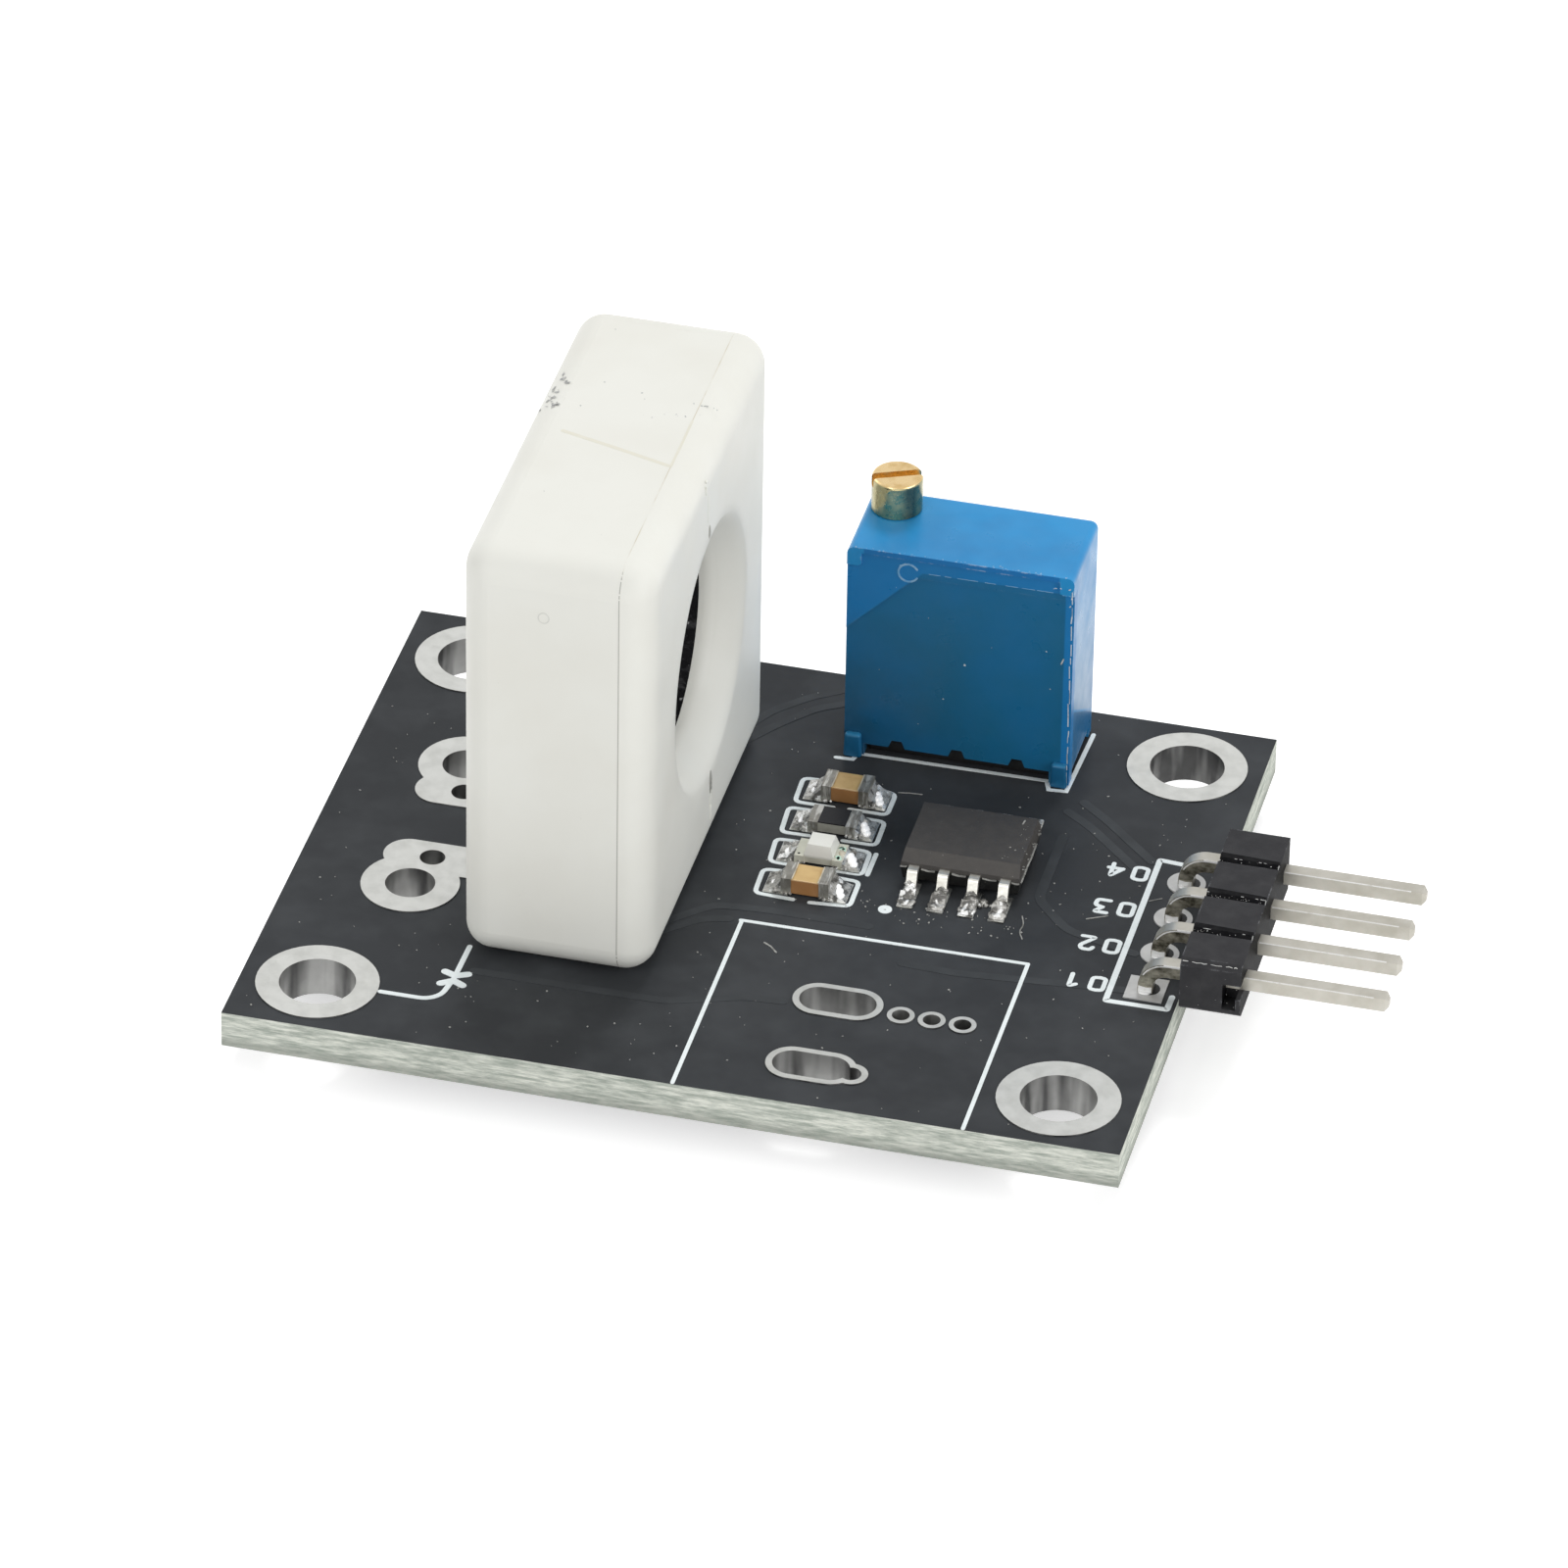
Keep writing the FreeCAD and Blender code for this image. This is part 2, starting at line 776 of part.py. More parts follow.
screw_x = trimmer_left + d.screw_from_left
screw_y = trimmer_rear - d.screw_from_back
wheel_z = pad_top + d.wheel_height
tooth_height = (d.screw_shaft - d.mesh_gap - d.screw_root) / 2
thread_radius = d.screw_root / 2 + tooth_height
wheel_x = screw_x + d.wheel_outside / 2 + d.screw_root / 2 + d.mesh_gap
pitch_radius = d.wheel_outside / 2 - tooth_height / 2
thread_pitch = PI * 2 * pitch_radius / wheel_teeth
boss_bottom = trimmer_roof - d.trimmer_top - d.boss_depth
thread_half = thread_pitch * thread_turns / 2
shelf_top = wheel_z - thread_half - d.thread_bottom / 2 - d.mesh_gap
wheel_rear = screw_y + d.wheel_thick / 2
wheel_front = screw_y - d.wheel_thick / 2


def trimmer_case():
    """The blue shell: open at the front and below, with seats for the screw and the wheel."""
    owner = body()
    outline = sketch(owner, "XY_Plane")
    width = d.trimmer_width
    hood = d.trimmer_top
    depth = d.trimmer_depth
    polygon(outline, [(0, 0), (width, 0), (width, depth), (0, depth)])
    block = pad(owner, outline, d.trimmer_height)
    rear = depth.number

    def rear_corners(bounds):
        return bounds.XLength < NEAR and bounds.YLength < NEAR and abs(bounds.YMax - rear) < NEAR

    corners = soften(owner, block, rear_corners, d.trimmer_corner)
    top = d.trimmer_height.number

    def roof_edge(bounds):
        return along_x(bounds) and abs(bounds.ZMax - top) < NEAR and abs(bounds.YMax - rear) < NEAR

    soften(owner, corners, roof_edge, d.trimmer_roof_edge)
    inside = sketch(owner, "XY_Plane")
    wall = d.trimmer_wall
    polygon(inside, [(wall, -wall), (width - wall, -wall), (width - wall, depth - d.trimmer_back),
                     (wall, depth - d.trimmer_back)])
    pocket(owner, inside, d.trimmer_height - hood)
    # the front panel fills this step, under the roof and between the ears
    step = sketch(owner, "XZ_Plane", 0 - d.panel_recess - d.panel_thick)
    low = d.trimmer_height - d.ear_height
    high = d.trimmer_height - d.panel_rise
    polygon(step, [(-wall, -wall), (width + wall, -wall), (width + wall, low),
                   (width - d.ear_width, low), (width - d.ear_width, high), (d.ear_width, high),
                   (d.ear_width, low), (-wall, low)])
    pocket(owner, step, d.panel_recess + d.panel_thick * 2)
    # the walls stop short of the board between the rear feet
    under = sketch(owner, "XY_Plane")
    foot = d.trimmer_foot
    polygon(under, [(foot, -wall), (width - foot, -wall), (width - foot, depth + wall),
                    (foot, depth + wall)])
    pocket(owner, under, d.trimmer_foot_height)
    sides = sketch(owner, "XY_Plane")
    polygon(sides, [(-wall, -wall), (width + wall, -wall), (width + wall, depth - foot),
                    (-wall, depth - foot)])
    pocket(owner, sides, d.trimmer_foot_height)
    put(owner, trimmer_left, trimmer_front, pad_top)
    return owner


def trimmer_shell():
    """The case with the screw's boss and shelf and the wheel's pivot moulded on."""
    shell = trimmer_case()
    inner_left = trimmer_left + d.trimmer_wall
    inner_rear = trimmer_rear - d.trimmer_back
    boss_right = screw_x + d.screw_shaft / 2 + d.boss_wall
    boss_front = screw_y - d.screw_shaft / 2 - d.boss_wall
    boss = box(inner_left, boss_front, boss_bottom, boss_right - inner_left, inner_rear - boss_front,
               d.boss_depth)
    shelf_right = screw_x + d.screw_root / 2 + d.shelf_wall
    shelf_front = screw_y - d.screw_root / 2 - d.shelf_wall
    shelf = box(inner_left, shelf_front, shelf_top - d.shelf_thick, shelf_right - inner_left,
                inner_rear - shelf_front, d.shelf_thick)
    shoulder = rod(wheel_x, wheel_rear + d.face_gap, wheel_z, d.pivot_shoulder,
                   inner_rear - wheel_rear - d.face_gap, "y")
    pivot_front = wheel_front - d.wiper_thick * 2
    pivot = rod(wheel_x, pivot_front, wheel_z, d.pivot, inner_rear - pivot_front, "y")
    bored = rod(screw_x, screw_y, boss_bottom - d.boss_depth, d.screw_shaft + d.turn_gap * 2,
                d.boss_depth * 2 + d.trimmer_top * 2)
    seat = rod(screw_x, screw_y, shelf_top - d.shelf_thick * 2, d.screw_root + d.turn_gap * 2,
               d.shelf_thick * 3)
    well = rod(screw_x, screw_y, shelf_top, (thread_radius + d.mesh_gap) * 2, boss_bottom - shelf_top)
    node(cut(fuse([shell, boss, shelf, shoulder, pivot]), [bored, seat, well]), "trimmer_case")


def trimmer_panel():
    """The front plate: two feet, three notches over the pins, and a thicker top and corner."""
    owner = body()
    outline = sketch(owner, "XZ_Plane")
    width = d.trimmer_width
    foot = d.trimmer_foot
    low = d.trimmer_height - d.ear_height
    high = d.trimmer_height - d.panel_rise
    lift = d.panel_lift
    corners = [(0, 0), (foot, 0), (foot, lift)]
    for step in range(3):
        middle = width / 2 + d.trimmer_pitch * (step - 1)
        half = d.notch_width / 2
        corners += [(middle - half, lift), (middle - half * 0.6, lift + half),
                    (middle + half * 0.6, lift + half), (middle + half, lift)]
    corners += [(width - foot, lift), (width - foot, 0), (width, 0), (width, low),
                (width - d.ear_width, low), (width - d.ear_width, high), (d.ear_width, high),
                (d.ear_width, low), (0, low)]
    polygon(outline, corners)
    pad(owner, outline, d.panel_thick, reverse=True)
    window = sketch(owner, "XZ_Plane", 0 - d.panel_window_depth)
    over = d.panel_window_depth
    roof = high - d.panel_window_top
    corner = d.panel_window_cut
    polygon(window, [(-over, -over), (width + over, -over), (width + over, roof), (corner, roof),
                     (-over, roof - corner - over)])
    pocket(owner, window, d.panel_window_depth * 2)
    put(owner, trimmer_left, panel_front, pad_top)
    node(owner, "trimmer_panel")


def trimmer_screw():
    """A slotted brass screw; its lower half is the worm."""
    owner = body()
    outline = sketch(owner, "XZ_Plane")
    head = d.screw_head / 2
    shaft = d.screw_shaft / 2
    root = d.screw_root / 2
    head_bottom = trimmer_roof + d.face_gap - wheel_z
    top = head_bottom + d.screw_head_height
    seal_top = trimmer_roof - d.seal_from_top - wheel_z
    seal_bottom = seal_top - d.seal_section
    neck = shaft + d.turn_gap - d.seal_squeeze / 2 - d.seal_section
    shaft_bottom = boss_bottom - d.mesh_gap * 2 - wheel_z
    bottom = shelf_top - d.shelf_thick - d.mesh_gap - wheel_z
    polygon(outline, [(0, bottom), (root, bottom), (root, shaft_bottom), (shaft, shaft_bottom),
                      (shaft, seal_bottom), (neck, seal_bottom), (neck, seal_top), (shaft, seal_top),
                      (shaft, head_bottom), (head, head_bottom), (head, top), (0, top)])
    core = turned(owner, outline)
    high = top.number

    def head_rim(bounds):
        return abs(bounds.ZMin - high) < NEAR and abs(bounds.ZMax - high) < NEAR

    soften(owner, core, head_rim, d.screw_slot_depth / 3)
    slot = sketch(owner, "YZ_Plane")
    slot.AttachmentOffset = FreeCAD.Placement(FreeCAD.Vector(), FreeCAD.Rotation(FreeCAD.Vector(0, 1, 0), 1))
    bind(slot, "AttachmentOffset.Rotation.Angle", d.screw_slot_turn)
    half = d.screw_slot_width / 2
    deep = top - d.screw_slot_depth
    rise = top + d.screw_slot_depth
    polygon(slot, [(-half, deep), (half, deep), (half, rise), (-half, rise)])
    pocket(owner, slot, d.screw_head * 2, both_ways=True)
    ridge = sketch(owner, "XZ_Plane")
    sink = d.mesh_gap / 2
    foot = d.thread_bottom / 2
    crest = d.thread_top / 2
    start = 0 - thread_half
    polygon(ridge, [(root - sink, start - foot), (thread_radius, start - crest),
                    (thread_radius, start + crest), (root - sink, start + foot)])
    worm = owner.newObject("PartDesign::AdditiveHelix", "Worm")
    worm.Profile = ridge
    worm.ReferenceAxis = (ridge, ["V_Axis"])
    worm.Mode = 0
    bind(worm, "Pitch", thread_pitch)
    bind(worm, "Height", thread_half * 2)
    doc.recompute()
    put(owner, screw_x, screw_y, wheel_z)
    node(owner, "trimmer_screw")


def trimmer_seal():
    """The square rubber ring in the screw's groove."""
    wide = d.screw_shaft + d.turn_gap * 2 - d.seal_squeeze
    low = trimmer_roof - d.seal_from_top - d.seal_section
    ring = rod(screw_x, screw_y, low, wide, d.seal_section)
    eye = rod(screw_x, screw_y, low - d.seal_section, wide - d.seal_section * 2, d.seal_section * 3)
    node(cut(ring, [eye]), "trimmer_seal")


def trimmer_wheel():
    """The worm wheel; it is turned by half a step so that a tooth points at the worm."""
    owner = body()
    outside = d.wheel_outside / 2
    disc = circle(sketch(owner, "XZ_Plane"), 0, 0, d.wheel_outside)
    pad(owner, disc, d.wheel_thick, both_ways=True)
    pocket(owner, circle(sketch(owner, "XZ_Plane"), 0, 0, d.pivot + d.turn_gap * 2),
           d.wheel_thick * 2, both_ways=True)
    root = outside - tooth_height
    step = PI * 2 / wheel_teeth
    top_half = (step * outside - d.tooth_top) / 2
    root_half = (step * root - d.tooth_bottom) / 2
    flare = outside + d.mesh_gap
    gap = sketch(owner, "XZ_Plane")
    polygon(gap, [(-flare, -top_half), (-root, -root_half), (-root, root_half), (-flare, top_half)])
    space = pocket(owner, gap, d.wheel_thick * 2, both_ways=True)
    teeth = owner.newObject("PartDesign::PolarPattern", "Teeth")
    teeth.Originals = [space]
    teeth.Axis = (gap, ["N_Axis"])
    teeth.Angle = 360
    bind(teeth, "Occurrences", wheel_teeth)
    owner.Tip = teeth
    doc.recompute()
    half_step = 180 / wheel_teeth
    put(owner, wheel_x, screw_y, wheel_z, FreeCAD.Rotation(V(0, 1, 0), half_step.number))
    bind(owner, "Placement.Rotation.Angle", half_step)
    node(owner, "trimmer_wheel")


def trimmer_wiper():
    """A spring disc on the wheel's face, with two arms that reach the element."""
    reach = wheel_front - element_rear - d.face_gap
    disc = rod(wheel_x, wheel_front - d.wiper_thick, wheel_z, d.wiper_disc, d.wiper_thick, "y")
    eye = rod(wheel_x, wheel_front - d.wiper_thick * 2, wheel_z, d.pivot + d.turn_gap * 2,
              d.wiper_thick * 3, "y")
    arms = []
    for side in (-1, 1):
        middle = wheel_z + (d.wiper_disc + d.pivot) / 4 * side
        arms.append(box(wheel_x - d.wiper_arm / 2, wheel_front - reach, middle - d.wiper_thick / 2,
                        d.wiper_arm, reach, d.wiper_thick))
    node(cut(fuse([disc] + arms), [eye]), "trimmer_wiper")


def trimmer_element():
    bottom = filler_bottom + d.filler_height
    node(box(trimmer_x - d.element_width / 2, panel_rear, bottom, d.element_width, d.element_thick,
             d.element_height), "trimmer_element")


def trimmer_pins():
    top = filler_bottom + d.filler_height + d.trimmer_pin_length
    return [node(rod(trimmer_pin_x(step), trimmer_pin_y, tail_end, d.trimmer_pin, top - tail_end),
                 "trimmer_pin_%d" % (step + 1)) for step in range(3)]


def trimmer_filler(pins):
    """The resin that closes the trimmer's bottom and holds its pins."""
    inner_left = trimmer_left + d.trimmer_wall
    width = d.trimmer_width - d.trimmer_wall * 2
    depth = trimmer_rear - d.trimmer_back - panel_rear
    resin = box(inner_left, panel_rear, filler_bottom, width, depth, d.filler_height)
    node(cut(resin, pins), "trimmer_filler")


# Pin header

def header_pin(step):
    """A square pin: along X through the strip, then bent down through the board."""
    owner = body()
    outline = sketch(owner, "XZ_Plane")
    half = d.header_pin / 2
    reach = header_outer_x + d.header_pin_reach - header_row_x
    drop = tail_end - header_z
    polygon(outline, [(-half, drop), (half, drop), (half, -half), (reach, -half), (reach, half),
                      (-half, half)])
    bar = pad(owner, outline, d.header_pin, both_ways=True)
    inner = half.number

    def bend(sign):
        return lambda bounds: (along_y(bounds) and abs(bounds.XMin - inner * sign) < NEAR
                               and abs(bounds.ZMin + inner * sign) < NEAR)

    outer_bend = soften(owner, bar, bend(-1), d.header_bend + d.header_pin)
    inner_bend = soften(owner, outer_bend, bend(1), d.header_bend)
    tip = reach.number
    pointed = soften(owner, inner_bend, lambda bounds: at_x(bounds, tip), d.pin_chamfer, bevelled=True)
    low = drop.number

    def foot(bounds):
        return abs(bounds.ZMin - low) < NEAR and abs(bounds.ZMax - low) < NEAR

    soften(owner, pointed, foot, d.pin_chamfer, bevelled=True)
    put(owner, header_row_x, header_pin_y(step), header_z)
    return node(owner, "header_pin_%d" % (step + 1))


def header_strip(pins):
    """The black strip, snapped short at both ends and broken open at its front pin."""
    owner = body()
    outline = sketch(owner, "YZ_Plane")
    half = d.header_block / 2
    wide = d.header_groove_width / 2
    deep = half - d.header_groove_depth
    first_groove = header_first_y * -1 + d.header_pitch / 2
    front = first_groove - d.header_pitch + d.header_short_front
    back = header_first_y + d.header_pitch / 2
    lower = [(front, -deep), (front + wide, -half)]
    upper = [(front, deep), (front + wide, half)]
    for step in range(header_count - 1):
        groove = first_groove + d.header_pitch * step
        lower += [(groove - wide, -half), (groove, -deep), (groove + wide, -half)]
        upper += [(groove - wide, half), (groove, deep), (groove + wide, half)]
    short = back - d.header_short_end
    lower.append((short, -half))
    upper.append((short, half))
    polygon(outline, lower + upper[::-1])
    pad(owner, outline, d.header_block)
    put(owner, header_face_x, 0, header_z)
    # what broke off around the front pin: a corner above it and a pit beside it
    start = header_outer_x - d.loss_length
    corner = box(start, front - d.loss_depth, header_z - d.header_pin / 2, d.loss_length * 2,
                 d.loss_depth + d.header_pitch / 2, d.header_pin + d.header_groove_depth / 4)
    pit = box(start, front - d.loss_depth, header_z - d.loss_height, d.loss_length - d.loss_skin,
              d.loss_depth * 2, d.loss_height)
    node(cut(owner, [corner, pit] + pins), "header_strip")


# Amplifier in its eight-lead package

parting_z = pad_top + d.amplifier_lift + d.amplifier_lower
lead_reach = (d.amplifier_span - d.amplifier_width) / 2


def amplifier_lead_places():
    return [(side, step) for side in (-1, 1) for step in range(4)]


def amplifier_lead_x(step):
    return amplifier_x + d.amplifier_pitch * (step - 1.5)


def facing(side):
    """Turn a piece drawn for the rear side to the front side."""
    return FreeCAD.Rotation(V(0, 0, 1), 0 if side > 0 else 180)


def profile(role, corners, width):
    """A straight-sided outline, given its width to both sides of its plane."""
    owner = body()
    feature = pad(owner, polygon(sketch(owner, role), corners), width, both_ways=True)
    return owner, feature


def amplifier_lead(side, step, number):
    """A gull-wing lead: out of the parting line, down, and out again along its pad."""
    thick = d.gull_thick
    high = parting_z - pad_top + thick / 2
    heel = lead_reach - d.gull_foot
    shoulder = d.gull_shoulder
    root = 0 - d.gull_foot / 2
    corners = [(root, high - thick), (shoulder - thick, high - thick), (heel, 0), (lead_reach, 0),
               (lead_reach, thick), (heel + thick, thick), (shoulder, high), (root, high)]
    owner, bar = profile("YZ_Plane", corners, d.gull_width)
    bends = [place.number for place in (shoulder - thick, heel, heel + thick, shoulder)]

    def bend(bounds):
        return along_x(bounds) and any(abs(bounds.YMin - place) < NEAR for place in bends)

    soften(owner, bar, bend, d.gull_bend)
    put(owner, amplifier_lead_x(step), amplifier_y + d.amplifier_width * side / 2, pad_top, facing(side))
    return node(owner, "amplifier_lead_%d" % number)


def amplifier_body(leads):
    """A moulded block with draft above and below its parting line, bevelled along its front."""
    draft = d.amplifier_draft
    length = d.amplifier_length
    width = d.amplifier_width
    upper = drafted(amplifier_x, amplifier_y, parting_z, length, width, d.amplifier_upper, draft)
    lower = drafted(amplifier_x, amplifier_y, parting_z, length, width, d.amplifier_lower, draft,
                    upward=False)
    bevel = d.amplifier_bevel
    front = draft - width / 2
    top = parting_z + d.amplifier_upper
    shaving, _ = profile("YZ_Plane", [(front - bevel, -bevel * 2), (front + bevel, 0),
                                      (front + bevel, bevel), (front - bevel, bevel)], length * 2)
    put(shaving, amplifier_x, amplifier_y, top)
    node(cut(fuse([upper, lower]), [shaving] + leads), "amplifier_body")


def amplifier():
    leads = [amplifier_lead(side, step, number)
             for number, (side, step) in enumerate(amplifier_lead_places(), start=1)]
    amplifier_body(leads)


# Chip parts, in rows from the front: capacitor, lamp, resistor, capacitor

def chip_row_y(row):
    return trimmer_front - d.chip_to_trimmer - d.chip_row_pitch * (3 - row)


def chip_block(row, height):
    """The ceramic block between its metal ends."""
    skin = d.end_skin
    length = d.chip_length - skin * 2
    width = d.chip_width - skin * 2
    return box(chip_x - length / 2, chip_row_y(row) - width / 2, pad_top + skin, length, width,
               height - skin * 2)


def chip_ends(row, height, block):
    ends = []
    for side in (-1, 1):
        x = chip_x + (d.chip_length - d.chip_end) * side / 2 - d.chip_end / 2
        ends.append(box(x, chip_row_y(row) - d.chip_width / 2, pad_top, d.chip_end, d.chip_width,
                        height))
    return group([cut(end, [block]) for end in ends])


def capacitor(row, name):
    block = node(chip_block(row, d.capacitor_height), name + "_body")
    node(chip_ends(row, d.capacitor_height, block), name + "_ends")


def resistor():
    row = 2
    block = node(chip_block(row, d.resistor_height), "resistor_body")
    node(chip_ends(row, d.resistor_height, block), "resistor_ends")
    length = d.chip_length - d.chip_end * 2
    width = d.chip_width - d.end_skin * 2
    node(box(chip_x - length / 2, chip_row_y(row) - width / 2, pad_top + d.resistor_height - d.end_skin,
             length, width, d.resistor_film), "resistor_film")


def lamp():
    row = 1
    block = node(chip_block(row, d.lamp_base_height), "lamp_base")
    node(chip_ends(row, d.lamp_base_height, block), "lamp_ends")
    lens_z = pad_top + d.lamp_base_height - d.end_skin
    room = d.chip_length - d.chip_end * 2
    stem_height = d.end_skin * 2
    stem = box(chip_x - room / 2, chip_row_y(row) - d.chip_width / 2 + d.end_skin, lens_z, room,
               d.chip_width - d.end_skin * 2, stem_height)
    dome = drafted(chip_x, chip_row_y(row), lens_z + stem_height, d.lens_length,
                   d.chip_width - d.end_skin * 2, d.lens_height - stem_height, d.lens_draft)
    node(fuse([stem, dome]), "lamp_lens")


# Solder

def solder_joint(x, y, hole, across, pin, pin_size, square=False):
    """A soldered hole: the pad on top, tinned metal through the board and a cone below."""
    cone = taper(x, y, 0 - d.solder_height, pin_size + d.solder_tip * 2, across, d.solder_height)
    return cut(fuse([top_pad(x, y, across, square), plating_rod(x, y, hole), cone]), [pin])


def soldered_leads(sensor_pins, trimmer_pins_made, header_pins_made):
    node(group([solder_joint(sensor_lead_x(step), sensor_y, d.sensor_lead_hole, d.sensor_lead_pad, pin,
                             d.sensor_lead) for step, pin in enumerate(sensor_pins)]), "sensor_joints")
    node(group([solder_joint(trimmer_pin_x(step), trimmer_pin_y, d.trimmer_pin_hole, d.trimmer_pin_pad,
                             pin, d.trimmer_pin) for step, pin in enumerate(trimmer_pins_made)]),
         "trimmer_joints")
    last = header_count - 1
    node(group([solder_joint(header_row_x, header_pin_y(step), d.header_pin_hole, d.header_pin_pad, pin,
                             d.header_pin, step == last) for step, pin in enumerate(header_pins_made)]),
         "header_joints")


def solder_slope(role, length, height, width):
    """A hollow slope of solder, from its height at the lead down to the end of its pad."""
    lip = d.plating
    corners = [(0, 0), (length, 0), (length, lip), (length * 0.55, height * 0.3),
               (length * 0.25, height * 0.6), (0, height)]
    return profile(role, corners, width)[0]


def surface_solder():
    slopes = []
    heights = [d.capacitor_height, d.lamp_base_height, d.resistor_height, d.capacitor_height]
    reach = d.chip_pad_spread + d.chip_pad_length / 2 - d.chip_length / 2 - d.end_skin
    for row, height in enumerate(heights):
        for side in (-1, 1):
            slope = solder_slope("XZ_Plane", reach, height * 0.75, d.chip_width)
            put(slope, chip_x + d.chip_length * side / 2, chip_row_y(row), pad_top, facing(side))
            slopes.append(slope)
    node(group(slopes), "chip_solder")
    slopes = []
    reach = d.amplifier_pad_spread + d.amplifier_pad_length / 2 - d.amplifier_span / 2 - d.end_skin
    for side, step in amplifier_lead_places():
        slope = solder_slope("YZ_Plane", reach, d.gull_thick * 1.5, d.amplifier_pad_width - d.end_skin)
        put(slope, amplifier_lead_x(step), amplifier_y + d.amplifier_span * side / 2, pad_top,
            facing(side))
        slopes.append(slope)
    node(group(slopes), "amplifier_solder")


# The whole module

mounting_rings()
lug_pads()
spare_footprint()
surface_pads()

sensor_case()
sensor_cover()
sensor_pins = sensor_leads()
sensor_potting(sensor_core(), hall_element(), sensor_pins)

trimmer_shell()
trimmer_panel()
trimmer_screw()
trimmer_seal()
trimmer_wheel()
trimmer_wiper()
trimmer_element()
trimmer_leads = trimmer_pins()
trimmer_filler(trimmer_leads)

header_pins = [header_pin(step) for step in range(header_count)]
header_strip(header_pins)
amplifier()
capacitor(0, "front_capacitor")
lamp()
resistor()
capacitor(3, "rear_capacitor")
soldered_leads(sensor_pins, trimmer_leads, header_pins)
surface_solder()
circuit_board()

doc.recompute()
for thing in doc.Objects:
    if "Invalid" in thing.State or "Error" in thing.State:
        raise RuntimeError("%s did not compute: %s" % (thing.Label, thing.State))
for thing in NODES:
    if thing.Shape.isNull() or not thing.Shape.isValid() or not thing.Shape.Solids:
        raise RuntimeError("%s has no valid solid" % thing.Label)

os.makedirs("parts", exist_ok=True)
for thing in NODES:
    thing.Shape.exportStep("parts/%s.step" % thing.Label)
    print("%-24s %d solids, %.3f mm3" % (thing.Label, len(thing.Shape.Solids), thing.Shape.Volume))
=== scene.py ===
import json
import math
import random
from random import choice, gauss, uniform

import bmesh
import bpy
from mathutils import Matrix, Vector, noise

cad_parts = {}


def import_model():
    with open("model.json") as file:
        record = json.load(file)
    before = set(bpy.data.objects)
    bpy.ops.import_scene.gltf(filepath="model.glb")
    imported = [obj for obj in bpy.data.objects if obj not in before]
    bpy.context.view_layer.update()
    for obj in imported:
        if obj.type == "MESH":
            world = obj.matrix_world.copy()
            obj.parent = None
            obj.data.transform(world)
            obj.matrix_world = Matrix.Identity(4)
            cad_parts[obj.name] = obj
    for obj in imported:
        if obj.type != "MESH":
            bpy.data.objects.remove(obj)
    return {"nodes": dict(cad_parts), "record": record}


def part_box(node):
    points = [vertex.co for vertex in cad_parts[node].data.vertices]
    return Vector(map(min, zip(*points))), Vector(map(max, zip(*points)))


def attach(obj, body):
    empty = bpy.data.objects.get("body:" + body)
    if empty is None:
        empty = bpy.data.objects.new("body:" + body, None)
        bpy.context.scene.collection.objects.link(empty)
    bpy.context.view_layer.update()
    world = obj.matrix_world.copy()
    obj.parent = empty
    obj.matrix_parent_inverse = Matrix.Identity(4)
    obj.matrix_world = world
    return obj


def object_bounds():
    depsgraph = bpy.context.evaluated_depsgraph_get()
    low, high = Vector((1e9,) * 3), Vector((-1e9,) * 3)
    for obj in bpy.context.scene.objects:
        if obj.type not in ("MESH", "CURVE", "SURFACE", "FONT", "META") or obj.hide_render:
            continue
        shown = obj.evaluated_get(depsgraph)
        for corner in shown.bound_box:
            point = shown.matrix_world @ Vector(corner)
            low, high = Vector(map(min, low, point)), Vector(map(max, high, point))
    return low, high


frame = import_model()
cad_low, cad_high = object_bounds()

MM = 0.001
BOARD_TOP = 1.6
PAD_TOP = 1.66
BORE_CENTRE = (0.0, 0.90, 11.41)
SCREW_CENTRE = (2.55, 12.60, 0.0)
random.seed(7)


# Node materials

# the trimmer's right side has painted light above the line z + 0.63 y = 11.26 and painted shade below it
LINE_SLOPE = 0.63
LINE_LEVEL = 11.26
GRAIN_STRENGTH = 0.6
PAINTS = {}


def node(tree, kind, *values, operation=None, **inputs):
    """A new node; values go to its first sockets, and inputs to the sockets with their names."""
    made = tree.nodes.new("ShaderNode" + kind)
    if operation:
        made.operation = operation
    named = [(made.inputs[key.replace("_", " ")], value) for key, value in inputs.items()]
    for socket, value in [*zip(made.inputs, values), *named]:
        if isinstance(value, bpy.types.NodeSocket):
            tree.links.new(value, socket)
        else:
            socket.default_value = value
    return made


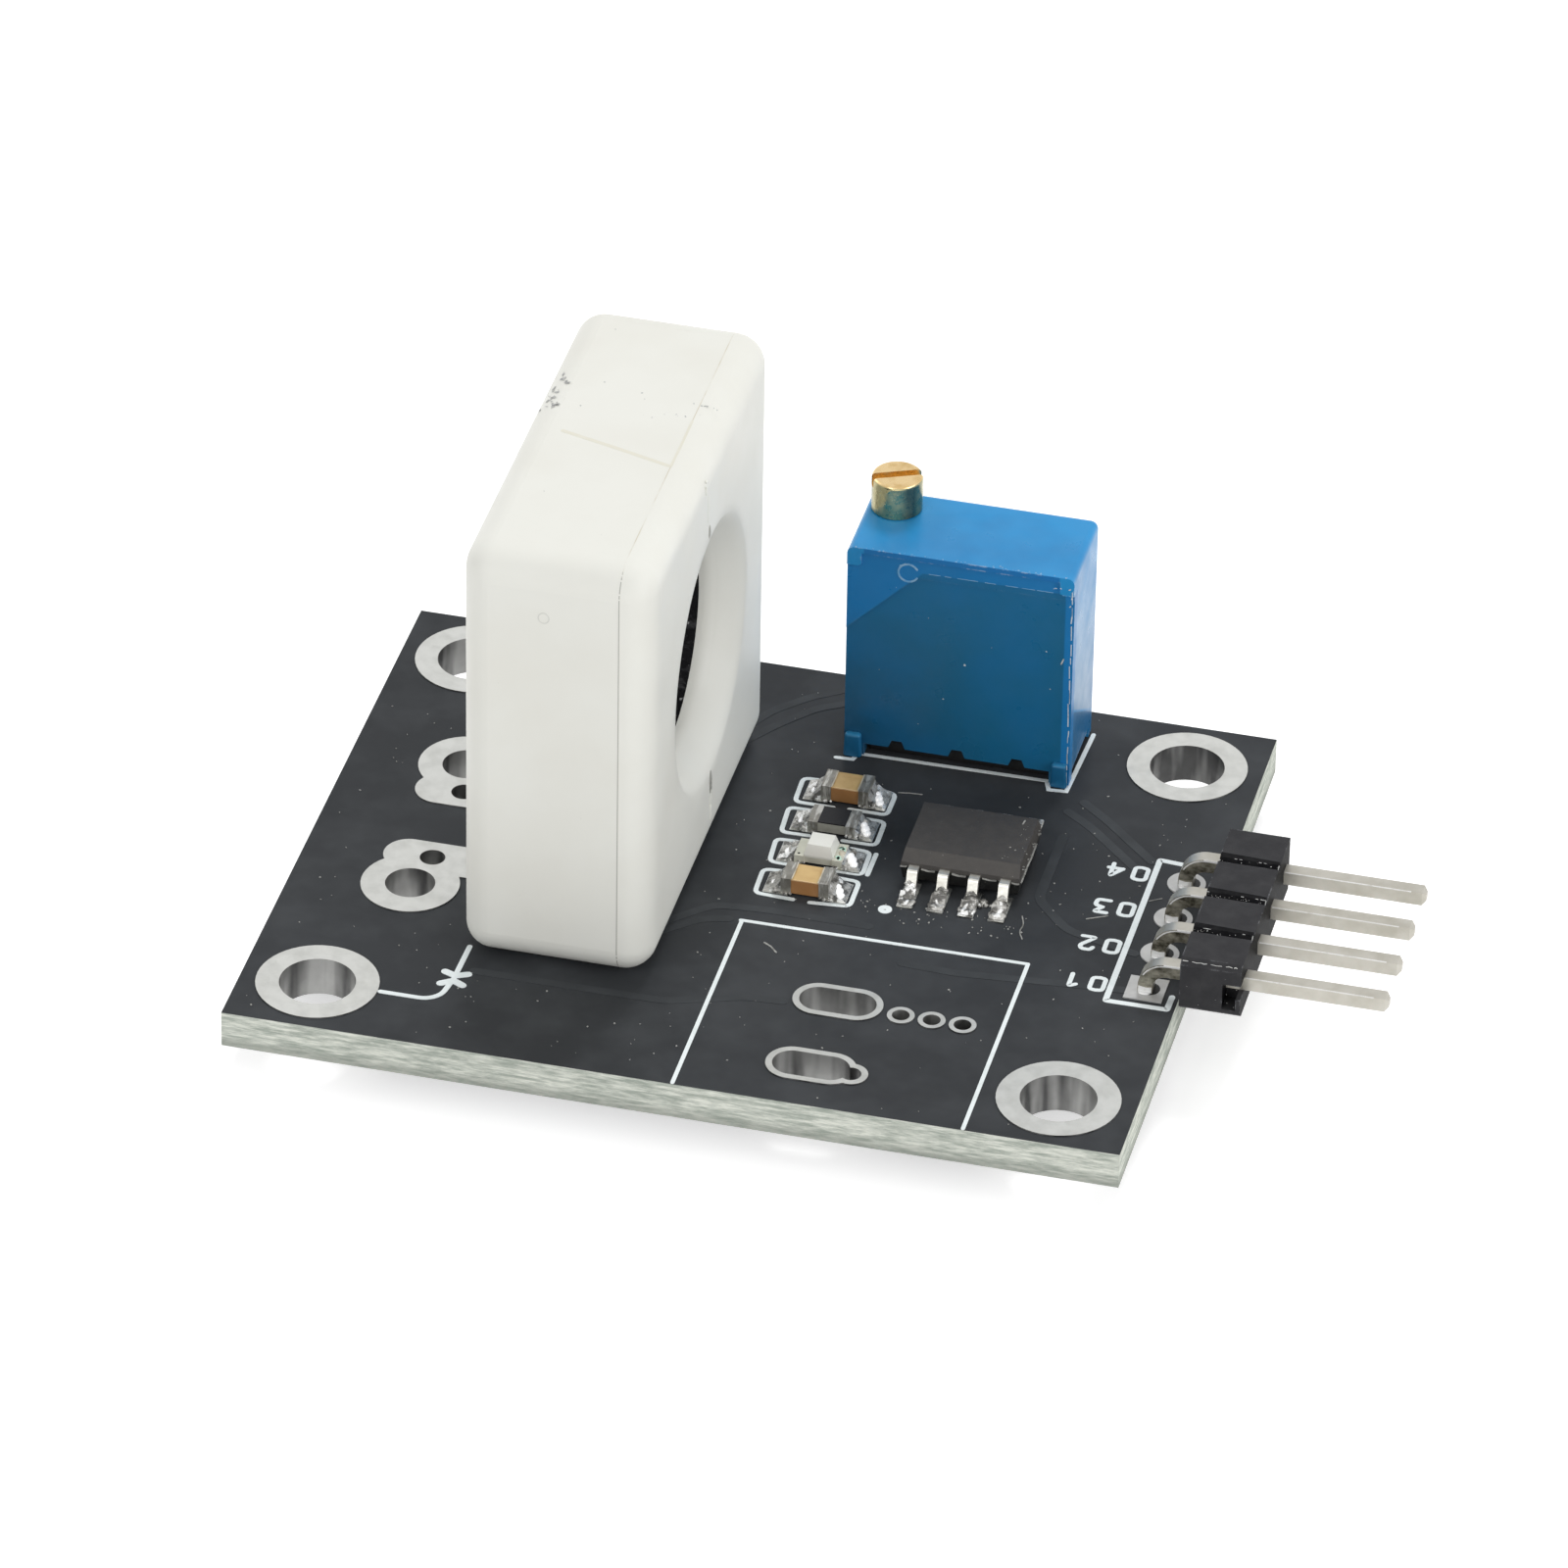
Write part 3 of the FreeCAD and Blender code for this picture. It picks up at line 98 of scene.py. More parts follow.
class Paint:
    """A Principled material with its nodes at hand."""

    def __init__(self, name, color, roughness, metallic, specular):
        self.material = bpy.data.materials.new(name)
        self.material.use_nodes = True
        self.tree = self.material.node_tree
        self.base = self.tree.nodes["Principled BSDF"]
        self.base.inputs["Base Color"].default_value = (*color, 1)
        self.base.inputs["Roughness"].default_value = roughness
        self.base.inputs["Metallic"].default_value = metallic
        self.base.inputs["Specular IOR Level"].default_value = specular
        self.place = node(self.tree, "TexCoord").outputs["Object"]

    def drive(self, name, value):
        self.tree.links.new(value, self.base.inputs[name])
        return self

    def math(self, operation, a, b=0.0):
        return node(self.tree, "Math", a, b, operation=operation).outputs[0]

    def vector_math(self, operation, a, b):
        return node(self.tree, "VectorMath", a, b, operation=operation).outputs

    def stretched(self, x, y, z):
        """The places on the object, scaled so that a noise runs longer one way."""
        return self.vector_math("MULTIPLY", self.place, (x, y, z))["Vector"]

    def noise(self, per_mm, detail=3.0, roughness=0.55, vector=None):
        made = node(self.tree, "TexNoise", Vector=vector or self.place, Scale=per_mm / MM,
                    Detail=detail, Roughness=roughness)
        return made.outputs[0]

    def between(self, value, low, high, start=0.0, end=1.0):
        """Runs from start, where the value is low, to end, where it is high."""
        made = node(self.tree, "MapRange", Value=value, From_Min=low, From_Max=high, To_Min=start, To_Max=end)
        return made.outputs[0]

    def between_mm(self, value, low, high, start=0.0, end=1.0):
        return self.between(value, low * MM, high * MM, start, end)

    def all_of(self, *masks):
        """1 only where every mask is 1."""
        product = masks[0]
        for mask in masks[1:]:
            product = self.math("MULTIPLY", product, mask)
        return product

    def mixed(self, fac, a, b):
        made = node(self.tree, "Mix", Factor=fac)
        made.data_type = "RGBA"
        for key, value in (("A", a), ("B", b)):
            socket = [i for i in made.inputs if i.name == key and i.type == "RGBA"][0]
            if isinstance(value, bpy.types.NodeSocket):
                self.tree.links.new(value, socket)
            else:
                socket.default_value = (*value, 1)
        return [o for o in made.outputs if o.type == "RGBA"][0]

    def tint(self, fac, color):
        """Lays another colour over what is there, by fac."""
        old = self.base.inputs["Base Color"]
        before = old.links[0].from_socket if old.links else tuple(old.default_value)[:3]
        return self.drive("Base Color", self.mixed(fac, before, color))

    def along(self, axis):
        return node(self.tree, "SeparateXYZ", self.place).outputs[axis]

    def past(self, axis, low_mm, high_mm, start=0.0, end=1.0):
        """A mask that changes between two places along an axis."""
        return self.between_mm(self.along(axis), low_mm, high_mm, start, end)

    def normal(self, axis):
        normal = node(self.tree, "NewGeometry").outputs["Normal"]
        return node(self.tree, "SeparateXYZ", normal).outputs[axis]

    def facing(self, axis, low, high):
        """How far the surface faces along an axis, from 0 at low to 1 at high."""
        return self.between(self.normal(axis), low, high)

    def upright(self):
        """1 on upright faces and 0 on level ones."""
        return self.between(self.math("ABSOLUTE", self.normal("Z")), 0.55, 0.45)

    def reach_from(self, centre_mm, plane):
        """Distance from an axis through the point, in the two named directions."""
        shift = self.vector_math("SUBTRACT", self.place, [value * MM for value in centre_mm])["Vector"]
        split = node(self.tree, "SeparateXYZ", shift).outputs
        squares = [self.math("MULTIPLY", split[way], split[way]) for way in plane]
        return self.math("SQRT", self.math("ADD", *squares))

    def soften(self, mask, radius_mm):
        """Rounds the shading across edges where the mask is 1."""
        made = node(self.tree, "Bevel", Radius=self.math("MULTIPLY", mask, radius_mm * MM))
        made.samples = 8
        self.drive("Normal", made.outputs[0])

    def cloudy(self, per_mm, color, low=0.4, high=0.7, share=1.0):
        """Soft patches of another colour."""
        return self.tint(self.between(self.noise(per_mm), low, high, 0.0, share), color)

    def rough_between(self, per_mm, low, high):
        """Roughness that wanders between two values."""
        return self.drive("Roughness", self.between(self.noise(per_mm), 0.3, 0.7, low, high))

    def grain(self, per_mm, depth_mm):
        """Fine unevenness, over what already shapes the normal."""
        made = node(self.tree, "Bump", Strength=GRAIN_STRENGTH, Distance=depth_mm * MM,
                    Height=self.noise(per_mm))
        before = self.base.inputs["Normal"].links
        if before:
            self.tree.links.new(before[0].from_socket, made.inputs["Normal"])
        return self.drive("Normal", made.outputs[0])

    def edges(self, radius_mm, color, share):
        """Wear along the edges, where the bevelled normal leaves the face's own."""
        bevel = node(self.tree, "Bevel", Radius=radius_mm * MM).outputs[0]
        flat = node(self.tree, "NewGeometry").outputs["Normal"]
        worn = self.between(self.vector_math("DOT_PRODUCT", bevel, flat)["Value"], 0.98, 0.80)
        patchy = self.between(self.noise(1.6, 4.0, 0.7), 0.50, 0.62, 0.0, share)
        return self.tint(self.all_of(worn, patchy), color)


def paint(slot, color, roughness, metallic=0.0, specular=0.5):
    PAINTS[slot] = Paint(slot, color, roughness, metallic, specular)
    return PAINTS[slot]


def board_paints():
    """A dark mask over a pale laminate edge, with its pads, print and dust."""
    board = paint("board_laminate", (0.042, 0.045, 0.049), 0.45, specular=0.06)
    board.cloudy(0.35, (0.058, 0.062, 0.067))
    side = board.upright()
    fibres = board.noise(1.0, 5.0, 0.68, board.stretched(0.9, 0.9, 8.0))
    board.tint(side, board.mixed(board.between(fibres, 0.38, 0.64), (0.38, 0.42, 0.37), (0.82, 0.84, 0.76)))
    board.tint(board.all_of(side, board.past("Z", 0.60, 0.15, 0.0, 0.55)), (0.24, 0.26, 0.23))
    board.drive("Roughness", board.between(side, 0.0, 1.0, 0.30, 0.65)).grain(1.6, 0.006)
    pads = paint("tinned_pad", (0.67, 0.675, 0.65), 0.36, 1.0).cloudy(1.3, (0.58, 0.585, 0.56))
    pads.rough_between(2.2, 0.36, 0.56).grain(1.6, 0.004)
    # the holes' walls are painted darker, as painted shade inside the holes, with bright and dark upright
    # streaks as painted reflections
    streaks = pads.between(pads.noise(1.1, 2.0, 0.5, pads.stretched(1, 1, 0.12)), 0.36, 0.62)
    pads.tint(pads.upright(), pads.mixed(streaks, (0.10, 0.10, 0.10), (0.44, 0.44, 0.43)))
    paint("pad_pale", (0.58, 0.58, 0.57), 0.42, 0.25).cloudy(1.6, (0.50, 0.50, 0.49)).grain(2.0, 0.006)
    paint("print_white", (0.88, 0.94, 0.95), 0.5).cloudy(1.2, (0.78, 0.85, 0.85), 0.5, 0.75).grain(6.0, 0.01)
    paint("mask_trace", (0.048, 0.052, 0.056), 0.42, specular=0.08).cloudy(0.5, (0.063, 0.068, 0.073))
    paint("dust", (0.42, 0.42, 0.40), 0.7).cloudy(3.0, (0.16, 0.16, 0.15))


def block_paints():
    """The sensing block's white plastic, its black filling and its marks."""
    white = paint("sensor_white", (0.84, 0.84, 0.785), 0.45, specular=0.35)
    white.cloudy(0.22, (0.815, 0.81, 0.75))
    # the mouth runs softly into the cover's face
    near = white.between_mm(white.reach_from(BORE_CENTRE, "YZ"), 7.0, 6.4)
    white.soften(white.all_of(near, white.past("X", -3.6, -3.3)), 1.0)
    white.grain(1.4, 0.015).rough_between(0.5, 0.40, 0.55)
    potting = paint("potting_black", (0.010, 0.010, 0.011), 0.26).grain(1.8, 0.06)
    # painted highlights: lighter streaks and grey glint specks on the black filling
    streaks = potting.noise(1.4, 4.0, 0.65, potting.stretched(0.5, 1.6, 0.5))
    potting.tint(potting.between(streaks, 0.55, 0.70, 0.0, 0.7), (0.10, 0.10, 0.105))
    potting.tint(potting.between(potting.noise(5.0, 2.0, 0.5), 0.68, 0.74), (0.42, 0.42, 0.42))
    paint("ferrite", (0.05, 0.05, 0.055), 0.75).grain(4.0, 0.02)
    seam = paint("seam_line", (0.70, 0.66, 0.56), 0.6).cloudy(0.6, (0.84, 0.84, 0.785), 0.42, 0.60, 0.9)
    # painted shade: the seam is painted darker grey where it faces the front
    seam.tint(seam.facing("Y", -0.5, -0.8), (0.46, 0.45, 0.42))
    paint("pencil_cream", (0.775, 0.755, 0.655), 0.55).cloudy(1.2, (0.81, 0.80, 0.72), 0.5, 0.8)
    paint("smudge", (0.44, 0.45, 0.44), 0.6).cloudy(3.0, (0.68, 0.68, 0.66))
    paint("mark_grey", (0.64, 0.64, 0.60), 0.5).cloudy(2.0, (0.74, 0.74, 0.69))


def chip_paints():
    """The amplifier's moulding and leads, and the small parts on their rows."""
    moulded = paint("moulded_black", (0.047, 0.043, 0.040), 0.50).cloudy(2.0, (0.058, 0.053, 0.048))
    moulded.grain(9.0, 0.012)
    # painted shade: faces turned down are painted near black
    moulded.tint(moulded.facing("Z", 0.02, -0.06), (0.009, 0.009, 0.009))
    moulded.tint(moulded.between(moulded.noise(7.0, 2.0, 0.5), 0.74, 0.78, 0.0, 0.5), (0.28, 0.27, 0.25))
    paint("lead_metal", (0.84, 0.83, 0.77), 0.30, 0.8).cloudy(2.0, (0.66, 0.64, 0.58)).grain(5.0, 0.012)
    tan = paint("capacitor_tan", (0.68, 0.47, 0.20), 0.38).cloudy(2.0, (0.60, 0.39, 0.16)).grain(7.0, 0.012)
    # painted shade: the sides are painted darker than the top
    tan.tint(tan.facing("Z", 0.7, 0.4), (0.38, 0.185, 0.068))
    paint("capacitor_edge_highlight", (0.88, 0.68, 0.42), 0.4).cloudy(2.0, (0.74, 0.52, 0.28))
    paint("border_beige", (0.66, 0.60, 0.48), 0.40, 0.2).cloudy(3.0, (0.46, 0.41, 0.31))
    ends = paint("tin_end", (0.30, 0.29, 0.26), 0.30, 0.45).cloudy(2.4, (0.20, 0.19, 0.165)).grain(6.0, 0.03)
    bright = ends.noise(1.6, 3.0, 0.6, ends.stretched(3.0, 0.5, 0.5))
    ends.tint(ends.between(bright, 0.52, 0.62, 0.0, 0.8), (0.68, 0.67, 0.63))
    paint("chip_ceramic", (0.42, 0.41, 0.36), 0.55).cloudy(2.0, (0.34, 0.335, 0.29)).grain(5.0, 0.01)
    paint("resistor_black", (0.014, 0.014, 0.016), 0.32, specular=0.2).grain(5.0, 0.01)
    paint("lamp_cream", (0.74, 0.74, 0.63), 0.42).cloudy(1.8, (0.66, 0.66, 0.56)).grain(3.0, 0.008)
    paint("lamp_green", (0.72, 0.73, 0.62), 0.45).cloudy(1.6, (0.62, 0.66, 0.54), 0.5, 0.60)
    paint("lamp_clear", (0.90, 0.90, 0.84), 0.16).grain(2.0, 0.01)
    paint("leaf_green", (0.58, 0.92, 0.74), 0.5).cloudy(3.0, (0.70, 0.92, 0.80))
    paint("pit_black", (0.006, 0.006, 0.006), 0.5)


def solder_paints():
    """Solder with painted dark and light reflections, glowing glints, and white solder painted as a
    highlight.
    """
    solder = paint("solder", (0.56, 0.55, 0.52), 0.26, 0.4).rough_between(2.4, 0.16, 0.40).grain(2.6, 0.05)
    # painted reflections: dark patches in the solder's colour
    solder.tint(solder.between(solder.noise(1.9, 3.0, 0.6), 0.47, 0.56), (0.16, 0.155, 0.145))
    # painted highlights: near-white patches in the solder's colour
    bright = solder.noise(2.7, 2.0, 0.5, solder.stretched(1.0, 0.7, 1.0))
    solder.tint(solder.between(bright, 0.57, 0.62), (0.96, 0.96, 0.95))
    # painted highlights: white glints that glow a little though they are no lamp
    glint = paint("solder_glint", (1.0, 1.0, 1.0), 0.30, 0.15, specular=1.0)
    glint.base.inputs["Emission Color"].default_value = (1, 1, 1, 1)
    glint.base.inputs["Emission Strength"].default_value = 0.30
    # white solder painted as a highlight, for the pins' feet, edges and fillets
    paint("solder_highlight_white", (0.96, 0.96, 0.95), 0.25, 0.1).cloudy(2.2, (0.72, 0.71, 0.68), 0.56, 0.66)


def header_paints():
    strip = paint("header_black", (0.040, 0.040, 0.043), 0.55, specular=0.06)
    strip.cloudy(1.2, (0.052, 0.052, 0.055)).grain(5.0, 0.02)
    # the side that the pins leave is painted darker, as painted shade, with grey wear along its edges
    strip.tint(strip.facing("X", 0.8, 0.95), (0.003, 0.003, 0.004))
    strip.edges(0.10, (0.30, 0.31, 0.33), 0.8)
    paint("groove_shade_black", (0.004, 0.004, 0.005), 0.5, specular=0.05).cloudy(3.0, (0.012, 0.012, 0.013))
    pin = paint("header_metal", (0.55, 0.53, 0.475), 0.36, 0.65).cloudy(0.9, (0.45, 0.43, 0.37))
    # at the bends the fronts are painted darker and streaked, as painted shade and reflections
    bend = pin.all_of(pin.facing("Y", -0.3, -0.7), pin.past("X", 18.6, 18.5))
    bend_reflection_streaks = pin.between(pin.noise(1.5, 4.0, 0.65, pin.stretched(1.0, 0.3, 1.6)), 0.36, 0.66)
    pin.tint(bend, pin.mixed(bend_reflection_streaks, (0.075, 0.068, 0.045), (0.52, 0.49, 0.40)))
    pin.rough_between(1.5, 0.28, 0.44).grain(2.5, 0.015)


def screw_paints():
    """The brass screw, and what it drives inside the trimmer."""
    brass = paint("screw_brass", (0.80, 0.60, 0.32), 0.24, 1.0).cloudy(1.8, (0.62, 0.42, 0.17), 0.5, 0.75)
    brass.rough_between(2.5, 0.15, 0.42).grain(2.6, 0.03)
    # painted reflections: the head's side is painted lighter, with dark and light upright bands at its rim
    side = brass.upright()
    rim = brass.between_mm(brass.reach_from(SCREW_CENTRE, "XY"), 1.02, 1.04)
    bands = brass.between(brass.noise(0.75, 1.0, 0.4, brass.stretched(1, 1, 0.05)), 0.40, 0.58)
    brass.tint(side, (0.88, 0.68, 0.36))
    brass.tint(brass.all_of(side, rim), brass.mixed(bands, (0.12, 0.15, 0.11), (0.74, 0.64, 0.34)))
    paint("seal_rubber", (0.01, 0.01, 0.01), 0.6)
    paint("wheel_nylon", (0.74, 0.71, 0.60), 0.45)
    paint("wiper_metal", (0.72, 0.62, 0.42), 0.25, 1.0)
    paint("element_ceramic", (0.78, 0.77, 0.73), 0.6).grain(4.0, 0.01)
    paint("filler_resin", (0.012, 0.012, 0.015), 0.35)


def trimmer_paints():
    """The trimmer's blue case and panel, and its worn marks."""
    blue = paint("trimmer_blue", (0.018, 0.285, 0.63), 0.34, specular=0.4)
    # below the roof's front edge the case is painted as deep a blue as the panel, as painted shade
    lip_shade = blue.all_of(blue.facing("Y", -0.5, -0.8), blue.past("Z", 11.56, 11.60),
                      blue.past("X", 1.95, 2.02), blue.past("X", 10.22, 10.15))
    blue.tint(lip_shade, (0.010, 0.17, 0.47))
    # painted light on the right side above the line, stronger near it, and painted shade below it
    right = blue.facing("X", 0.8, 0.95)
    line = blue.math("ADD", blue.along("Z"), blue.math("MULTIPLY", blue.along("Y"), LINE_SLOPE))
    above = blue.between_mm(line, LINE_LEVEL, LINE_LEVEL + 0.12)
    fading = blue.between_mm(line, LINE_LEVEL + 8, LINE_LEVEL + 1, 0.15, 1.0)
    blue.tint(blue.all_of(right, above, fading), (0.19, 0.34, 0.52))
    below = blue.between_mm(line, LINE_LEVEL + 0.02, LINE_LEVEL - 0.10)
    blue.tint(blue.all_of(right, below), (0.010, 0.13, 0.30))
    panel = paint("panel_blue", (0.012, 0.20, 0.50), 0.32, specular=0.4)
    # a deeper field, cut off at the upper left and darker toward the lower left
    cut = panel.between_mm(panel.math("SUBTRACT", panel.along("Z"), panel.along("X")), 6.68, 6.56)
    field = panel.all_of(panel.past("Z", 11.10, 11.04), cut, panel.past("X", 10.46, 10.40))
    panel.tint(field, (0.010, 0.135, 0.27))
    dim = panel.all_of(panel.past("X", 7.5, 1.6), panel.past("Z", 9.0, 2.4, 0.0, 0.75))
    panel.tint(dim, (0.012, 0.058, 0.115))
    for plastic, wear in ((blue, 0.75), (panel, 0.12)):
        plastic.cloudy(0.25, (0.010, 0.16, 0.40), share=0.5).grain(2.2, 0.008).rough_between(0.9, 0.26, 0.42)
        plastic.edges(0.12, (0.55, 0.66, 0.76), wear)
    foot = paint("foot_blue", (0.010, 0.115, 0.25), 0.36, specular=0.3)
    # painted light: the feet's upward faces are painted lighter
    foot.cloudy(1.2, (0.016, 0.16, 0.33), 0.5, 0.7).tint(foot.facing("Z", 0.15, 0.9), (0.03, 0.22, 0.42))
    paint("worn_blue", (0.30, 0.50, 0.68), 0.5).cloudy(2.6, (0.10, 0.33, 0.60))
    paint("burr_pale", (0.66, 0.69, 0.70), 0.6).cloudy(1.4, (0.34, 0.36, 0.36), 0.50, 0.62)


board_paints()
block_paints()
chip_paints()
solder_paints()
header_paints()
screw_paints()
trimmer_paints()
for part in frame["record"]["subparts"]:
    shown = frame["nodes"][part["node"]]
    shown.data.materials.clear()
    shown.data.materials.append(PAINTS[part["material_slot"]].material)
# parts that look different from the rest of their slot
for name, look in (("trimmer_panel", "panel_blue"), ("lamp_ends", "lamp_cream"), ("lamp_base", "lamp_cream"),
                   ("resistor_body", "chip_ceramic"), ("header_joints", "pad_pale")):
    frame["nodes"][name].data.materials[0] = PAINTS[look].material


# Soft edges on the made parts

BEVELS = {0.03: ("circuit_board",),
          0.04: ("resistor_body", "trimmer_screw"),
          0.05: ("trimmer_panel", "amplifier_body", "lamp_base", "lamp_ends", "header_pin_1", "header_pin_2",
                 "header_pin_3", "header_pin_4"),
          0.06: ("trimmer_case", "rear_capacitor_body", "front_capacitor_body", "resistor_ends"),
          0.07: ("header_strip", "rear_capacitor_ends", "front_capacitor_ends"),
          0.08: ("lamp_lens",)}
for width, names in BEVELS.items():
    for name in names:
        bevel = frame["nodes"][name].modifiers.new("soft_edges", "BEVEL")
        bevel.width = width * MM
        bevel.segments = 2
        bevel.limit_method = "ANGLE"
        bevel.angle_limit = math.radians(40)


# Flat marks and small lumps

CORNER_STEPS = 4
DISC_POINTS = 16
CROSSING_RISE = 0.12
# a face's own two directions, to the right and up when it is looked at
TOP = ((1, 0, 0), (0, 1, 0))
FRONT = ((1, 0, 0), (0, 0, 1))
RIGHT = ((0, 1, 0), (0, 0, 1))
FRONT_EDGE = ((1, 0, 0), (0, 1, 1))


def rounded(points, radius):
    """The line through the points, with its corners rounded."""
    line = [Vector(points[0])]
    for before, corner, after in zip(points, points[1:], points[2:]):
        corner = Vector(corner)
        arm_in = Vector(before) - corner
        arm_out = Vector(after) - corner
        reach = min(radius, arm_in.length / 2.01, arm_out.length / 2.01)
        start = corner + arm_in.normalized() * reach
        end = corner + arm_out.normalized() * reach
        for step in range(CORNER_STEPS + 1):
            share = step / CORNER_STEPS
            line.append(start.lerp(corner, share).lerp(corner.lerp(end, share), share))
    line.append(Vector(points[-1]))
    return line


def arc(x, y, wide, tall, angles):
    """Points of an ellipse about (x, y), at angles in degrees."""
    return [(x + wide * math.cos(math.radians(angle)), y + tall * math.sin(math.radians(angle)))
            for angle in angles]


def side_faces(built, before, after):
    """Four faces between two rings of four points."""
    for k in range(4):
        built.faces.new((before[k], before[(k + 1) % 4], after[(k + 1) % 4], after[k]))


class Marks:
    """Thin raised marks on one flat face, kept as one piece."""

    def __init__(self, name, paint, slot, origin, plane=TOP, thick=0.02):
        self.name = name
        self.paint = paint
        self.slot = slot
        self.thick = thick
        self.strokes = 0
        self.mesh = bmesh.new()
        x_way, y_way = (Vector(way).normalized() for way in plane)
        z_way = x_way.cross(y_way)
        self.frame = Matrix((x_way, y_way, z_way)).transposed().to_4x4()
        self.frame.translation = Vector(origin)

    def point(self, place, level):
        return self.mesh.verts.new(self.frame @ Vector((*place, level)))

    def slab(self, outline):
        """A flat piece with the given outline."""
        bottom, top = ([self.point(place, level) for place in outline] for level in (0.0, self.thick))
        self.mesh.faces.new(reversed(bottom))
        self.mesh.faces.new(top)
        for i in range(len(outline)):
            j = (i + 1) % len(outline)
            self.mesh.faces.new((bottom[i], bottom[j], top[j], top[i]))

    def stroke(self, points, width, radius=0.0, thick=None, ends=5):
        """A line of even width with round ends, and round corners where a radius is given."""
        line = rounded(points, radius) if radius else [Vector(p) for p in points]
        # strokes that cross differ a little in height
        self.strokes += 1
        high = (thick or self.thick) * (1 + CROSSING_RISE * (self.strokes % 4))
        rows = []
        for i, here in enumerate(line):
            ways = []
            if i:
                ways.append((here - line[i - 1]).normalized())
            if i + 1 < len(line):
                ways.append((line[i + 1] - here).normalized())
            way = sum(ways, Vector((0, 0))).normalized()
            side = Vector((-way.y, way.x))
            half = width / 2 / max(0.5, side.dot(Vector((-ways[0].y, ways[0].x))))
            rows.append([self.point(here + side * half * sign, level)
                         for sign, level in ((1, 0), (1, high), (-1, high), (-1, 0))])
        for before, after in zip(rows, rows[1:]):
            side_faces(self.mesh, before, after)
        for centre, row, turn in ((line[-1], rows[-1], -1), (line[0], rows[0], 1)):
            rim = self.frame.inverted() @ row[0].co
            spoke = Vector((rim.x, rim.y)) - centre
            arcs = [[self.point(centre + Matrix.Rotation(math.pi * turn * k / ends, 2) @ spoke, level)
                     for k in range(1, ends)] for level in (0, high)]
            lower = [row[0]] + arcs[0] + [row[3]]
            upper = [row[1]] + arcs[1] + [row[2]]
            self.mesh.faces.new(lower)
            self.mesh.faces.new(upper)
            for a, b, c, e in zip(lower, lower[1:], upper[1:], upper):
                self.mesh.faces.new((a, b, c, e))

    def disc(self, x, y, radius, squeeze=1.0):
        turns = [2 * math.pi * k / DISC_POINTS for k in range(DISC_POINTS)]
        self.slab([(x + radius * math.cos(turn), y + radius * squeeze * math.sin(turn)) for turn in turns])

    def flake(self, x, y, size):
        """A small uneven speck."""
        turn = uniform(0, math.pi)
        slim = uniform(0.35, 1.0)
        outline = []
        for k in range(7):
            angle = 2 * math.pi * k / 7
            reach = size / 2 * uniform(0.6, 1.1)
            point = Vector((reach * math.cos(angle), reach * slim * math.sin(angle)))
            outline.append(Vector((x, y)) + Matrix.Rotation(turn, 2) @ point)
        self.slab(outline)

    def flakes(self, rows):
        for x, y, size in rows:
            self.flake(x, y, size)

    def scatter(self, count, across, up, sizes):
        """Specks at random places between the two bounds each way."""
        for _ in range(count):
            self.flake(uniform(*across), uniform(*up), choice(sizes))

    def done(self):
        new_piece(self.name, self.mesh, self.paint, smooth=False)


def new_piece(name, built, paint, body="module", smooth=True):
    """Turns a mesh built in millimetres into a piece that rides on a body."""
    mesh = bpy.data.meshes.new(name)
    bmesh.ops.recalc_face_normals(built, faces=built.faces)
    bmesh.ops.scale(built, vec=(MM, MM, MM), verts=built.verts)
    built.to_mesh(mesh)
    built.free()
    made = bpy.data.objects.new(name, mesh)
    bpy.context.scene.collection.objects.link(made)
    mesh.materials.append(PAINTS[paint].material)
    mesh.polygons.foreach_set("use_smooth", [smooth] * len(mesh.polygons))
    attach(made, body)


def lump(built, centre, size, seed, rough=0.25, detail=3):
    """A drop with an uneven skin."""
    made = bmesh.ops.create_icosphere(built, subdivisions=detail, radius=0.5)["verts"]
    shift = Vector((seed * 3.1, seed * 1.7, seed * 0.9))
    for vert in made:
        coarse = noise.noise(vert.co * 3.2 + shift)
        fine = noise.noise(vert.co * 8 + shift)
        swell = 1 + rough * coarse + rough * 0.5 * fine
        vert.co = Vector(centre) + Vector(vert.co[i] * size[i] * swell for i in range(3))


# White print on the board

PRINT_WIDTH = 0.20
PRINT_ROUND = 0.28
FOOTPRINT_WIDTH = 0.17
OUTLINE_WIDTH = 0.19
HEADER_FRAME_WIDTH = 0.25
SYMBOL_WIDTH = 0.22
ARROW_WIDTH = 0.34
CHIP_BRACKETS = (
    ((1.07, 7.17), (0.12, 7.13), (0.18, 5.38), (1.80, 5.38)),
    ((3.33, 7.12), (4.07, 6.95), (4.07, 5.41), (2.49, 5.42)),
    ((0.96, 4.93), (0.05, 4.91), (0.16, 3.11), (1.32, 3.14)),
    ((3.10, 4.93), (4.11, 4.91), (4.15, 3.18), (2.75, 3.16)),
    ((0.95, 2.62), (0.09, 2.59), (0.21, 0.95), (1.30, 0.93)),
    ((3.20, 2.70), (4.04, 2.64), (4.10, 1.00), (2.96, 0.98)),
    ((0.95, 0.43), (0.11, 0.35), (0.17, -1.36), (1.78, -1.42)),
    ((2.98, 0.55), (4.10, 0.49), (4.13, -1.29), (2.49, -1.45)))
